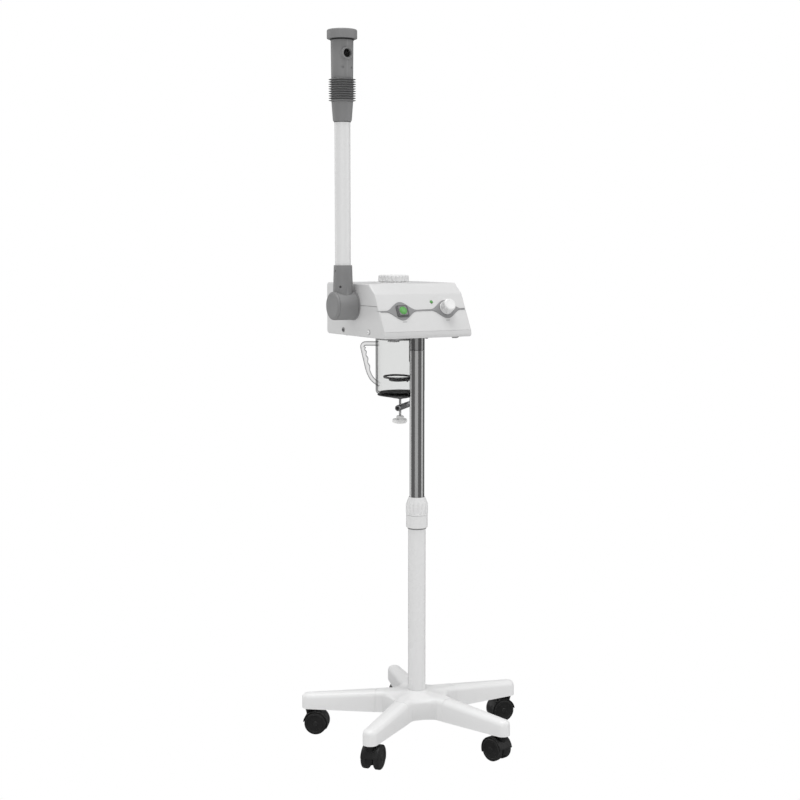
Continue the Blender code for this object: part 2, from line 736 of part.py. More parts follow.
def build_water_way(head):
    neck = carved(
        prism(disc(0.0506, 28, (0, JAR_Y)), 0.8715, HOUSE_LOW - GAP),
        add=(upright_hole(0.0120, PORT_X, JAR_Y, 0.875, 0.892),),
        cut=(upright_hole(0.0085, PORT_X, JAR_Y, 0.86, 0.90),
             upright_hole(FILL_HOLE_R, 0, FILL_Y, 0.86, 0.90),
             upright_hole(PORT_HOLE_R, *TERMINAL_AT, 0.86, 0.90)))
    piece("jar_neck", neck, GREY_RUBBER, parent=head)
    funnel = turned([(0.0105, 0.864), (0.0130, 0.864), (0.0130, 0.945), (0.0230, 0.970),
                     (0.0230, HOUSE_TOP), (0.0262, HOUSE_TOP + GAP), (0.0262, HOUSE_TOP + 0.0022),
                     (0.0205, HOUSE_TOP + 0.0022), (0.0205, 0.971), (0.0105, 0.946)], 16, (0, FILL_Y))
    piece("fill_neck", funnel, WHITE_PLASTIC, parent=head)
    duct = smooth_path([(PORT_X, JAR_Y, 0.8925), (PORT_X, JAR_Y, 0.915), (PORT_X - 0.003, JAR_Y, 0.935),
                        (PORT_X - 0.018, 0.077, 0.9465), (-0.060, 0.084, PIVOT_Z),
                        (-0.085, ARM_Y, PIVOT_Z), (-0.104, ARM_Y, PIVOT_Z)], 2)
    piece("steam_duct", swept(duct, 0.0080), GREY_RUBBER, parent=head)
    turns = []
    for i in range(33):
        share = i / 32
        angle = radians(-30) - tau * 2.0 * share
        radius = 0.036 - 0.015 * share
        turns.append((radius * cos(angle), JAR_Y + radius * sin(angle), 0.790 - 0.009 * share))
    rise = [(0.0200, 0.0560, 0.835), (0.0215, 0.0555, 0.818), (0.0265, 0.0545, 0.797)]
    coil = swept([(*TERMINAL_AT, 0.860), *smooth_path(rise, 3), *turns], 0.0030, 6)
    terminal = turned([(0, SHEATH_LOW), (SHEATH_R - 0.001, SHEATH_LOW), (SHEATH_R, SHEATH_LOW + 0.001),
                       (SHEATH_R, 0.8705), (TERMINAL_R, 0.8705), (TERMINAL_R, 0.888), (0, 0.888)],
                      16, TERMINAL_AT)
    piece("heater_coil", carved(coil, add=(terminal,)), HEATER_METAL, parent=head)


def fill_cap_mesh():
    """Fluted lid with a shallow raised ring on top."""
    count = 36
    low = HOUSE_TOP + 0.0025
    levels = ((0.0330, low, 0), (0.0340, low + 0.001, 0.0013), (0.0332, low + 0.0105, 0.0013),
              (0.0318, low + 0.0125, 0), (0.0270, low + 0.0140, 0), (0.0200, low + 0.0143, 0))
    rings = [[((r - cut * (i % 2)) * cos(tau * i / count), (r - cut * (i % 2)) * sin(tau * i / count), z)
              for i in range(count)] for r, z, cut in levels]
    plug = turned([(0, low - 0.012), (0.0198, low - 0.012), (0.0198, low + 0.002), (0, low + 0.002)], 16)
    return carved(loft(rings), add=(plug,))


def jar_mesh():
    """Glass jar with a rounded foot and a grip at its left side."""
    foot = 0.008
    profile = [(0, JAR_LOW), (JAR_R - foot, JAR_LOW)]
    profile += [(JAR_R - foot * (1 - sin(radians(a))), JAR_LOW + foot * (1 - cos(radians(a))))
                for a in (30, 60, 90)]
    profile += [(JAR_R, JAR_RIM), (JAR_IN_R, JAR_RIM), (JAR_IN_R, JAR_LOW + foot),
                (JAR_IN_R - 0.006, JAR_LOW + 0.003), (0, JAR_LOW + 0.003)]
    grip = smooth_path([(-0.0525, JAR_Y, 0.8640), (-0.0760, JAR_Y, 0.8647), (-0.0890, JAR_Y, 0.8650),
                        (-0.0938, JAR_Y, 0.8605), (-0.0915, JAR_Y, 0.8490), (-0.0865, JAR_Y, 0.8300),
                        (-0.0800, JAR_Y, 0.8060), (-0.0700, JAR_Y, 0.7880), (-0.0525, JAR_Y, 0.7745)], 2)
    return carved(turned(profile, 28, (0, JAR_Y)), add=(swept(grip, 0.0045, 6, 1.2),))


def build_jar(head):
    piece("jar", jar_mesh(), CLEAR_GLASS, parent=head)
    plate = turned([(0, PLATE_APEX), (0.006, PLATE_APEX), (0.0485, 0.7488), (0.0500, 0.7498),
                    (0.0500, 0.7508), (0.0445, JAR_LOW - GAP), (0, JAR_LOW - GAP)], 24, (0, JAR_Y))
    piece("jar_plate", plate, BLACK_PLASTIC, parent=head)
    span = Vector((-CLAMP_X, JAR_Y - CLAMP_Y, 0))
    way = degrees(atan2(span.y, span.x))
    post = empty("clamp_post_axis", (CLAMP_X, CLAMP_Y, 0), parent=head)
    rod = turned([(0, 0.706), (0.0045, 0.706), (0.0045, 0.8775), (0.0085, 0.8775),
                  (0.0085, HOUSE_LOW - GAP), (0, HOUSE_LOW - GAP)], 16)
    piece("clamp_post", rod, STEEL, parent=post)
    length = span.length
    arm = moved(prism(disc(CLAMP_ROD_R, 16), 0.0, length + CLAMP_BEYOND), (0, 0, CLAMP_Z), (0, 90, 0))
    boss = turned([(0, CLAMP_Z - 0.0085), (0.0070, CLAMP_Z - 0.0085), (0.0070, CLAMP_Z + 0.0085),
                   (0, CLAMP_Z + 0.0085)], 20)
    arm = carved(arm, add=(boss,), cut=(prism(disc(0.0045 + GAP, 20), 0.6, 0.8),
                                        prism(disc(SCREW_R + GAP, 16, (length, 0)), 0.6, 0.8)))
    piece("clamp_arm", arm, STEEL, turn_z=way, parent=post)
    screw_low = 0.6925
    screw = turned([(0, screw_low), (SCREW_R, screw_low), (SCREW_R, PLATE_APEX - 0.002),
                    (SCREW_R - 0.0010, PLATE_APEX - GAP), (0, PLATE_APEX - GAP)], 10)
    piece("clamp_screw", screw, STEEL, (0, JAR_Y, 0), parent=head)
    piece("clamp_knob", star_knob_mesh(), FROSTED_PLASTIC, (0, JAR_Y, 0), parent=head)


def star_knob_mesh():
    """Small star grip with a collar and a hole for the screw."""
    lobes = 5
    count = lobes * 4
    outline = [(0.0146 + 0.0026 * cos(lobes * tau * i / count)) for i in range(count)]

    def ring(share, z):
        return [(share * r * cos(tau * i / count), share * r * sin(tau * i / count), z)
                for i, r in enumerate(outline)]

    grip = loft([ring(0.70, 0.6858), ring(0.97, 0.6885), ring(1.0, 0.6945), ring(0.88, 0.6975)])
    collar = turned([(0, 0.696), (0.0085, 0.696), (0.0085, 0.7020), (0.0070, 0.7035), (0, 0.7035)], 12)
    hole = turned([(0, 0.6925 - GAP), (SCREW_R + GAP, 0.6925 - GAP), (SCREW_R + GAP, 0.71), (0, 0.71)], 10)
    return carved(grip, add=(collar,), cut=(hole,))


# ---------------------------------------------------------------- steam arm

def elbow_mesh():
    """Pivot barrel across the arm, with the neck that holds the arm's tube."""
    inner_end = -HOUSE_HALF - 0.0034 - ARM_X
    outer_end = BARREL_OUT - ARM_X
    barrel = moved(turned([(0, outer_end), (BARREL_R - 0.0005, outer_end), (BARREL_R, 0),
                           (BARREL_R + 0.0006, inner_end), (0, inner_end)], 28), turn=(0, 90, 0))
    top = NECK_TOP - PIVOT_Z
    neck = turned([(0, 0), (0.0213, 0), (0.0213, 0.032), (0.0209, 0.045), (0.0204, 0.062),
                   (0.0197, top), (0, top)], 20)
    pipe_hole = moved(prism(disc(0.0138, 16), outer_end + 0.004, inner_end + 0.01), turn=(0, 90, 0))
    steam_hole = prism(disc(0.0125, 12), -0.001, 0.060)
    tube_hole = prism(disc(TUBE_R + GAP, 20), 0.0555, 0.1)
    return carved(barrel, add=(neck,), cut=(pipe_hole, steam_hole, tube_hole))


def cone_mesh():
    """Lower nozzle joint: a slim cone on the end of the arm's tube."""
    stop = CONE_LOW + 0.012
    return around(CONE_LOW, [(0.0150, stop), (TUBE_R + GAP, stop), (TUBE_R + GAP, CONE_LOW),
                             (0.0185, CONE_LOW), (0.0200, CONE_LOW + 0.003),
                             (0.0230, CONE_TOP), (0.0170, CONE_TOP)], 20)


def bellows_mesh():
    """Ten soft ridges between the cone and the nozzle."""
    ridges = 10
    low = CONE_TOP + GAP
    pitch = (BELLOWS_TOP - GAP - low) / ridges
    outer = []
    for i in range(ridges):
        z = low + i * pitch
        outer += [(0.0243, z), (0.0290, z + pitch / 2)]
    outer.append((0.0243, BELLOWS_TOP - GAP))
    return around(BELLOWS_TOP, [(0.0185, low), *outer, (0.0185, BELLOWS_TOP - GAP)], 16)


def nozzle_mesh():
    """Nozzle body with a raised steam outlet facing the front."""
    body = around(BELLOWS_TOP, [(0.0190, BELLOWS_TOP), (0.0232, BELLOWS_TOP), (0.0240, NOZZLE_TOP),
                                (0.0205, NOZZLE_TOP), (0.0200, BELLOWS_TOP + 0.010),
                                (0.0190, BELLOWS_TOP + 0.008)], 20)
    height = OUTLET_Z - BELLOWS_TOP
    ring = moved(turned([(0, 0.0215), (0.0135, 0.0215), (0.0135, 0.0245), (0.0122, 0.0262),
                         (0.0100, 0.0262), (0.0094, 0.0252), (0, 0.0252)], 16), (0, 0, height), (90, 0, 0))
    hole = moved(prism(disc(0.0090, 16), 0.010, 0.04), (0, 0, height), (90, 0, 0))
    return carved(body, add=(ring,), cut=(hole,))


def build_arm(head):
    boss = turned([(0.0100, 0.0035), (0.0100, 0.0400), (0.0132, 0.0400), (0.0132, 0.0028),
                   (0.0314, 0.0028), (0.0314, 0.0), (0.0144, 0.0), (0.0144, -0.0060),
                   (0.0085, -0.0060), (0.0085, 0.0035)], 20)
    place = (-HOUSE_HALF - GAP, ARM_Y, PIVOT_Z)
    piece("pivot_boss", moved(boss, place, (0, -90, 0)), GREY_PLASTIC, parent=head)
    pivot = empty("arm_pivot", (ARM_X, ARM_Y, PIVOT_Z), parent=head)
    piece("elbow", elbow_mesh(), GREY_PLASTIC, parent=pivot)
    cap = turned([(0, 0), (0.0300, 0), (0.0300, 0.0025), (0.0285, 0.0046), (0.0255, 0.0054), (0, 0.0054)], 28)
    cap_x = BARREL_OUT - GAP - ARM_X
    piece("elbow_cap", moved(cap, (cap_x, 0, 0), (0, -90, 0)), GREY_PLASTIC, parent=pivot)
    low = 0.0555 + GAP
    high = CONE_LOW + 0.012 - GAP - PIVOT_Z
    tube = turned([(TUBE_IN_R, low), (TUBE_R, low), (TUBE_R, high), (TUBE_IN_R, high)], 20)
    piece("arm_tube", tube, WHITE_PAINT, parent=pivot)
    tip = empty("nozzle_axis", (0, 0, CONE_LOW - PIVOT_Z), parent=pivot)
    piece("nozzle_cone", cone_mesh(), GREY_PLASTIC, parent=tip)
    bend = empty("nozzle_bend", (0, 0, BELLOWS_TOP - CONE_LOW), parent=tip)
    piece("bellows", bellows_mesh(), GREY_RUBBER, parent=bend)
    piece("nozzle_body", nozzle_mesh(), GREY_PLASTIC, parent=bend)
    lid = around(BELLOWS_TOP, [(0, NOZZLE_TOP - 0.006), (0.0202, NOZZLE_TOP - 0.006),
                               (0.0202, NOZZLE_TOP + GAP), (0.0318, NOZZLE_TOP + GAP),
                               (0.0320, TOTAL_TOP - 0.0030), (0.0312, TOTAL_TOP - 0.0014),
                               (0.0295, TOTAL_TOP - 0.0006), (0.0200, TOTAL_TOP), (0, TOTAL_TOP)], 24)
    piece("nozzle_cap", lid, GREY_PLASTIC, parent=bend)


# ---------------------------------------------------------------- build

for old in list(bpy.data.objects):
    bpy.data.objects.remove(old)

PANEL_TILT = degrees(atan2(BREAK[1] - CREASE[1], BREAK[0] - CREASE[0]))
WHITE_PLASTIC = white_plastic()
WHITE_PAINT = white_paint()
GREY_PLASTIC = grey_plastic()
GREY_RUBBER = grey_rubber()
BLACK_PLASTIC = black_plastic()
CHROME = chrome()
STEEL = steel()
HEATER_METAL = heater_metal()
CLEAR_GLASS = clear_glass()
GREEN_LENS = green_lens()
FROSTED_PLASTIC = frosted_plastic()
CIRCUIT_GREEN = circuit_green()

steamer = empty("steamer", (COLUMN_X, COLUMN_Y, 0))
front_panel = empty("front_panel", (0, *CREASE), (PANEL_TILT, 0, 0), steamer)
build_stand(steamer)
build_castors(steamer)
build_column(steamer)
build_housing(steamer, front_panel)
build_water_way(steamer)
piece("fill_cap", fill_cap_mesh(), WHITE_PLASTIC, (0, FILL_Y, 0), parent=steamer)
build_jar(steamer)
build_arm(steamer)
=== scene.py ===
"""Looks of a facial steamer on a castor stand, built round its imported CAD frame.

Lengths are in metres and measured from the column's axis at floor level, with +Z up
and the front towards -Y. Each piece is placed at the column and rides on the CAD body
that carries it.
"""
from math import atan2, cos, exp, hypot, pi, radians, sin, tan, tau

import bmesh
import bpy
from mathutils import Matrix, Vector


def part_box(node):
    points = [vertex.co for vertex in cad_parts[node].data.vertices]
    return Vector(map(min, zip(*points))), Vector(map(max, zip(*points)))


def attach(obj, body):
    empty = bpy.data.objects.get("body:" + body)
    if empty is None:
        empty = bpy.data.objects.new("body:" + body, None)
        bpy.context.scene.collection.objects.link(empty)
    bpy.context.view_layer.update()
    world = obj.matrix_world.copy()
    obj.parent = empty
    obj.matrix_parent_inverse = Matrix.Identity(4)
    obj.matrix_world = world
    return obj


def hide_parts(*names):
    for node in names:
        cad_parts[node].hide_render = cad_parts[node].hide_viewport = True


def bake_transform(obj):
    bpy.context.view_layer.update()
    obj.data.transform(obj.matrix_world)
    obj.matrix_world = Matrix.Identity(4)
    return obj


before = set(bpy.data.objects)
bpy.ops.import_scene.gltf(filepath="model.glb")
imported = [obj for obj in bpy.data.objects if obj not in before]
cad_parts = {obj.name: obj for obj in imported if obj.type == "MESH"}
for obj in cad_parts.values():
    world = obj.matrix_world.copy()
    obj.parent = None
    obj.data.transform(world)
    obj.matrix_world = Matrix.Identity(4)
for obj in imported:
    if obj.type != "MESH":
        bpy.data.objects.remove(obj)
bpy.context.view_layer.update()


# ---------------------------------------------------------------- places from the frame

def middle(node):
    low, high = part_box(node)
    return (low + high) / 2


COLUMN = Vector((middle("mast_tube").x, middle("mast_tube").y, 0.0))


def span(node):
    """Lowest and highest corner of a CAD node, measured from the column."""
    low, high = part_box(node)
    return low - COLUMN, high - COLUMN


def half_width(node):
    low, high = span(node)
    return (high.x - low.x) / 2


GAP = 0.0003
SEAM = 0.0009                     # joint that shows between two mouldings

LEG_COUNT = 5
LEG_ROOT = span("base_leg_1")[0].x
LEG_REACH = span("base_leg_1")[1].x
LEG_UNDERSIDE = span("base_leg_1")[0].z
LEG_TIP_R = 0.0157
LEG_TIP_CENTRE = LEG_REACH - LEG_TIP_R
LEG_TIP_TOP = 0.090
LEG_TAPER = 0.0306                # half width gained per metre towards the column
LEG_FALL = 0.0779                 # height gained per metre towards the column
SHOULDER = 0.012                  # width of a leg's rounded shoulder
SHOULDER_DROP = 0.011             # and its height
HUB_UNDERSIDE = span("base_hub")[0].z
HUB_TOP = span("base_hub")[1].z
HUB_CORNER = 0.0735               # column axis to where a web meets a leg's side
HUB_WEB_R = 0.0655                # column axis to the middle of a web
HUB_WEB_TOP = 0.0993
STEM_AT = LEG_REACH - 0.0165      # column axis to a castor's stem
STEM_R = 0.0055
STEM_TOP = 0.076

WHEEL_R = 0.0245
WHEEL_HALF = 0.00625
WHEEL_MID = 0.0140                # stem's axis to the middle of a wheel, sideways
TRAIL = 0.015                     # stem's axis to the axle
HOOD_R = 0.0275
HOOD_IN_R = 0.0253
HOOD_HALF = 0.0185
AXLE_R = 0.003
AXLE_HALF = 0.019
WEB_R = 0.0262
WEB_HALF = 0.0070
CASTOR_HEADINGS = (171, -25, -36, 40, 104)   # way each castor trails, in degrees from +X

LOWER_R = half_width("lower_column")
LOWER_IN_R = LOWER_R - 0.0015
LOWER_LOW = span("lower_column")[0].z
LOWER_TOP = span("lower_column")[1].z
COLLAR_LOW = span("collar_base")[0].z
COLLAR_R = 0.0235
NUT_LOW, NUT_TOP = (corner.z for corner in span("collar_nut"))
MAST_R = half_width("mast_tube")
MAST_LOW, MAST_TOP = (corner.z for corner in span("mast_tube"))

HOUSE_HALF = half_width("housing_lower")
HOUSE_LOW = span("housing_lower")[0].z
HOUSE_BACK = span("housing_lower")[1].y
HOUSE_TOP = span("housing_upper")[1].z
CREASE = Vector((0.0, -0.0477, 0.8948))      # above the front lip
LIP_Y = -0.0503
BREAK = Vector((0.0, -0.0075, 0.9725))       # where the front turns towards the top
TOP_FRONT_Y = 0.0196
BACK_ROUND = 0.008
LIP_ROUND = 0.006
WALL = 0.0026
SPLIT_Z = 0.9478                  # joint between the shells on the sides
SPLIT_FRONT_Z = 0.938             # and on the front
SPLIT_STEP_Y = -0.0165

BUTTON_X, BUTTON_UP = -0.0520, 0.0478        # on the front panel, up from the crease
KNOB_X, KNOB_UP = 0.0570, 0.0525
LED_X, LED_UP = 0.0254, 0.0684
BUTTON_HALF = 0.0100
BUTTON_HOLE = BUTTON_HALF + 0.0008
SHAFT_HOLE_R = 0.0040
LED_R = 0.0036
BAND_SWELLS = ((-0.0536, 0.0483), (0.0570, 0.0505))
BAND_SWELL_HALF = 0.038
BAND_TOP = 0.0011
LENS_R = 0.0088
LENS_LOW = 0.0036                 # floor of the lens's well in the button
INLET = (0.050, 0.912)            # middle of the mains inlet: x and z
BEHIND, AHEAD, WIDE = 0.4, -0.3, 0.3         # y, y and half width that clear the housing
HOUSE_FLOOR = (0.87, 0.89)        # heights that take in the floor of the housing
HOUSE_ROOF = (0.98, 1.01)         # and its roof

JAR_Y = 0.073
JAR_R = 0.0537
JAR_IN_R = 0.0512
JAR_LOW = span("jar")[0].z
JAR_RIM = span("jar")[1].z
PLATE_APEX = span("jar_plate")[0].z
FILL_Y = 0.102
PORT_X = -0.026
TERMINAL = (0.020, 0.056)         # x and y of the heater's terminal
COIL_R = 0.0415                   # of the outer turn
COIL_Z = 0.7930
COIL_TILT = 0.032                 # its rise towards the back right, per metre

CLAMP_X = middle("clamp_post").x - COLUMN.x
CLAMP_Y = middle("clamp_post").y - COLUMN.y
CLAMP_Z = middle("clamp_arm").z
POST_R = 0.0045
CLAMP_ROD_R = 0.0066
CLAMP_BEYOND = 0.018              # rod's length past the screw
SCREW_R = 0.0028

ARM_X = middle("arm_tube").x - COLUMN.x
ARM_Y = middle("arm_tube").y - COLUMN.y
PIVOT_Z = 0.947
BARREL_R = 0.0308
BARREL_OUT = span("elbow")[0].x
NECK_TOP = span("elbow")[1].z
NECK_SCREW = ((0, 0, 0.041), (0, 0, 227))    # height above the pivot, and heading in degrees
TUBE_R = half_width("arm_tube")
CONE_LOW, CONE_TOP = (corner.z for corner in span("nozzle_cone"))
BELLOWS_LOW, BELLOWS_TOP = (corner.z for corner in span("bellows"))
NOZZLE_TOP = span("nozzle_body")[1].z
OUTLET_Z = 1.4762
TOTAL_TOP = span("nozzle_cap")[1].z

GLASS_EDGE = (0.05, 0.055, 0.055)            # what glass lets through along its wall

PANEL_TILT = atan2(BREAK.z - CREASE.z, BREAK.y - CREASE.y)


# ---------------------------------------------------------------- materials

def node(tree, kind, inputs=(), **settings):
    """A new shader node with its settings; each of its inputs is given a value or a link."""
    made = tree.nodes.new("ShaderNode" + kind)
    for name, value in settings.items():
        setattr(made, name, value)
    for socket, value in dict(inputs).items():
        if isinstance(value, bpy.types.NodeSocket):
            tree.links.new(value, made.inputs[socket])
        else:
            made.inputs[socket].default_value = value
    return made


def noise(tree, place, size, detail=2.0, stretch=(1, 1, 1)):
    """Noise whose features are about size metres, drawn out along an axis by stretch."""
    mapping = node(tree, "Mapping", {"Scale": [1 / (size * s) for s in stretch],
                                     "Vector": place.outputs["Object"]})
    made = node(tree, "TexNoise", {"Scale": 1.0, "Detail": detail, "Vector": mapping.outputs["Vector"]})
    return made.outputs["Fac"]


def ranged(tree, value, low, high, start=0.3, end=0.7):
    """Bring a value that runs from start to end to the range from low to high."""
    made = node(tree, "MapRange", {"From Min": start, "From Max": end, "To Min": low, "To Max": high,
                                   "Value": value})
    return made.outputs["Result"]


def mixed(tree, share, first, second):
    """Mix two colours, each a tuple or a socket."""
    made = node(tree, "Mix", {"Factor": share}, data_type="RGBA")
    for socket, colour in (("A", first), ("B", second)):
        target = [s for s in made.inputs if s.name == socket and s.type == "RGBA"][0]
        if isinstance(colour, tuple):
            target.default_value = (*colour, 1.0)
        else:
            tree.links.new(colour, target)
    return [s for s in made.outputs if s.type == "RGBA"][0]


def show_mix(tree, share, first, second):
    """Make a mix of two shaders what the material shows."""
    choice = node(tree, "MixShader", {"Fac": share, 1: first, 2: second})
    tree.links.new(choice.outputs["Shader"], tree.nodes["Material Output"].inputs["Surface"])


def shader_of(material):
    return material.node_tree.nodes["Principled BSDF"]


def surface(name, colour, roughness, metallic=0.0, mottle=0.03, mottle_size=0.05, gloss_change=0.08,
            gloss_size=0.012, grain_size=0.0007, grain_depth=0.00002, stretch=(1, 1, 1), edge_tint=0.0,
            more=()):
    """Shaded finish with slow colour change, patches of gloss, fine grain and worn edges.

    The colour is a tuple, or one number for a grey; more holds further inputs of the shader.
    """
    made = bpy.data.materials.new(name)
    made.use_nodes = True
    tree = made.node_tree
    shader = shader_of(made)
    for socket, value in {"Metallic": metallic, **dict(more)}.items():
        shader.inputs[socket].default_value = value
    if not isinstance(colour, tuple):
        colour = (colour, colour, colour)
    place = tree.nodes.new("ShaderNodeTexCoord")
    slow = ranged(tree, noise(tree, place, mottle_size, 3.0, stretch), 0.0, 1.0)
    darker = tuple(c * (1 - mottle) for c in colour)
    lighter = tuple(min(c * (1 + mottle), 1.0) for c in colour)
    tint = mixed(tree, slow, darker, lighter)
    if edge_tint:
        form = tree.nodes.new("ShaderNodeNewGeometry")
        worn = ranged(tree, form.outputs["Pointiness"], 0.0, edge_tint, 0.52, 0.60)
        tint = mixed(tree, worn, tint, tuple(min(c * 1.6 + 0.05, 1.0) for c in colour))
    tree.links.new(tint, shader.inputs["Base Color"])
    gloss = ranged(tree, noise(tree, place, gloss_size, 4.0, stretch),
                   max(roughness - gloss_change, 0.01), roughness + gloss_change)
    tree.links.new(gloss, shader.inputs["Roughness"])
    bump = node(tree, "Bump", {"Distance": grain_depth})
    tree.links.new(noise(tree, place, grain_size, 2.0, stretch), bump.inputs["Height"])
    tree.links.new(bump.outputs["Normal"], shader.inputs["Normal"])
    return made


def chrome_plate(name, level):
    """Plated tube with faint polishing lines and a few finger smears."""
    return surface(name, level, 0.17, 1.0, 0.03, gloss_change=0.035, gloss_size=0.03, grain_size=0.0009,
                   grain_depth=0.000004, stretch=(1, 1, 40))


def clear_glass(name, edge_start, clearness):
    """Clear glass: see-through in the middle, dark where its wall is seen along its length."""
    made = surface(name, 0.03, 0.03, mottle=0.004, gloss_change=0.02, grain_size=0.02, grain_depth=0.00003)
    tree = made.node_tree
    slant = node(tree, "LayerWeight", {"Blend": 0.5})
    clear = tree.nodes.new("ShaderNodeBsdfTransparent")
    depth = ranged(tree, slant.outputs["Facing"], 0.0, 1.0, edge_start, 1.0)
    tree.links.new(mixed(tree, depth, clearness, GLASS_EDGE), clear.inputs["Color"])
    sheen = node(tree, "Math", {1: 5.0, 0: slant.outputs["Facing"]}, operation="POWER")
    share = ranged(tree, sheen.outputs["Value"], 0.02, 0.75, 0.0, 1.0)
    show_mix(tree, share, clear.outputs["BSDF"], shader_of(made).outputs["BSDF"])
    return made


def green_painted_glow(name, strength, reach):
    """Green lens whose glow is brightest in its middle: a painted highlight."""
    made = surface(name, (0.11, 0.33, 0.09), 0.22, mottle=0.05, mottle_size=0.004, grain_size=0.0012,
                   grain_depth=0.00004, more={"Emission Strength": strength})
    tree = made.node_tree
    place = tree.nodes.new("ShaderNodeTexCoord")
    distance = node(tree, "VectorMath", {0: place.outputs["Object"]}, operation="LENGTH")
    share = ranged(tree, distance.outputs["Value"], 0.0, 1.0, 0.0, reach)
    glow = mixed(tree, share, (0.36, 0.80, 0.28), (0.06, 0.22, 0.05))
    tree.links.new(glow, shader_of(made).inputs["Emission Color"])
    return made


def circuit():
    """Green board with tinned tracks."""
    made = surface("circuit", (0.03, 0.14, 0.07), 0.40, mottle=0.1, grain_depth=0.00001)
    tree = made.node_tree
    tracks = node(tree, "TexBrick", {"Scale": 160.0, "Color1": (0.03, 0.14, 0.07, 1),
                                     "Color2": (0.04, 0.20, 0.09, 1), "Mortar": (0.45, 0.45, 0.40, 1)})
    place = tree.nodes.new("ShaderNodeTexCoord")
    tree.links.new(place.outputs["Object"], tracks.inputs["Vector"])
    tree.links.new(tracks.outputs["Color"], shader_of(made).inputs["Base Color"])
    return made


# Moulded housing with a fine spark-eroded grain, glossier stand, knobs and lids.
WHITE = surface("moulded_white", 0.70, 0.36, mottle=0.012, grain_size=0.0006, grain_depth=0.000025)
STAND_WHITE = surface("stand_white", 0.88, 0.34, mottle=0.006, mottle_size=0.06, gloss_change=0.04,
                      gloss_size=0.02, grain_size=0.0009, grain_depth=0.000015)
KNOB = surface("knob_white", 0.86, 0.28, mottle=0.01, grain_depth=0.000012)
# Powder coat over a drawn tube, with orange peel.
PAINT = surface("painted_tube", 0.86, 0.28, mottle=0.005, mottle_size=0.08, gloss_change=0.03,
                gloss_size=0.03, grain_size=0.0016, more={"Coat Weight": 0.25, "Coat Roughness": 0.12})
# Grey mouldings, satin trim on the front, soft bellows, and dull plastic in the joints.
GREY = surface("grey_moulded", (0.25, 0.25, 0.252), 0.50, grain_size=0.0006, grain_depth=0.00005,
               edge_tint=0.25)
TRIM = surface("grey_trim", (0.29, 0.29, 0.295), 0.42, grain_size=0.0004, grain_depth=0.000015)
SILICONE = surface("grey_silicone", (0.215, 0.215, 0.217), 0.62, mottle=0.04, grain_size=0.0005,
                   grain_depth=0.00003, more={"Sheen Weight": 0.15})
GASKET = surface("dark_gasket", 0.30, 0.60, mottle=0.05, grain_depth=0.00004)
# Nylon of the castors and the inlet, dark frame of the button, and rubber tread.
BLACK = surface("black_nylon", 0.012, 0.42, mottle=0.25, grain_depth=0.00004, edge_tint=0.12)
BEZEL_GREY = surface("bezel_grey", (0.13, 0.13, 0.132), 0.45, mottle=0.05)
TREAD = surface("tread_rubber", 0.016, 0.72, mottle=0.3, mottle_size=0.008, grain_size=0.0009,
                grain_depth=0.00007, edge_tint=0.3)
# The mast, and its socket under the housing in a darker copy of the same chrome, which is painted shade.
CHROME = chrome_plate("chrome_plate", 0.54)
SHADED_CHROME = chrome_plate("chrome_painted_shade", 0.34)
# Zinc-plated steel, sheath of the coil with strong light and dark patches whose light spots are painted
# highlights, blackened screw, dull zinc.
STEEL = surface("bright_steel", (0.46, 0.46, 0.47), 0.28, 1.0, 0.08, 0.006, grain_size=0.0006,
                edge_tint=0.2)
HEATER = surface("heater_sheath", 0.20, 0.18, 0.8, 0.5, 0.004, grain_size=0.0008, grain_depth=0.00005)
DARK_SCREW = surface("dark_screw", 0.20, 0.40, 0.4, 0.3, 0.003, grain_size=0.0006)
PALE_ZINC = surface("pale_zinc", 0.62, 0.42, 0.25, 0.06, 0.004, grain_size=0.0005)
GLOSS_BLACK = surface("gloss_black", 0.075, 0.25, mottle=0.2, grain_depth=0.00001)
# The jar's wall and its grip.
GLASS = clear_glass("jar_glass", 0.66, (0.938, 0.940, 0.938))
GRIP_GLASS = clear_glass("grip_glass", 0.15, (0.88, 0.88, 0.88))
# Translucent white plastic of the clamp's star grip.
FROSTED = surface("frosted_knob", (0.93, 0.93, 0.925), 0.34, mottle=0.02, grain_depth=0.00003,
                  more={"Coat Weight": 0.3})
# Lens of the button, indicator, marks on the front, and the board inside.
# Both green lenses glow brightest in the middle, as painted highlights.
GREEN = green_painted_glow("green_painted_glow", 0.35, 0.009)
GREEN_LED = green_painted_glow("green_painted_glow_small", 0.15, 0.003)
PRINT = surface("print_grey", 0.36, 0.50, mottle=0.06, grain_depth=0.000005)
CIRCUIT = circuit()


# ---------------------------------------------------------------- mesh tools

def finish(bm, smooth_deg=32):
    """Close a bmesh into a mesh with its faces pointing out."""
    bmesh.ops.recalc_face_normals(bm, faces=bm.faces)
    mesh = bpy.data.meshes.new("shape")
    bm.to_mesh(mesh)
    bm.free()
    return smoothed(mesh, smooth_deg)


def smoothed(mesh, smooth_deg=32):
    mesh.shade_smooth()
    mesh.set_sharp_from_angle(angle=radians(smooth_deg))
    return mesh


def loft(rings, closed=False, smooth_deg=32):
    """Skin rings that have the same number of points; caps at the ends, or a closed ring."""
    bm = bmesh.new()
    rows = [[bm.verts.new(point) for point in ring] for ring in rings]
    pairs = list(zip(rows, rows[1:]))
    if closed:
        pairs.append((rows[-1], rows[0]))
    for low, high in pairs:
        for i in range(len(low)):
            j = (i + 1) % len(low)
            bm.faces.new((low[i], low[j], high[j], high[i]))
    if not closed:
        bm.faces.new(rows[0])
        bm.faces.new(rows[-1])
    return finish(bm, smooth_deg)


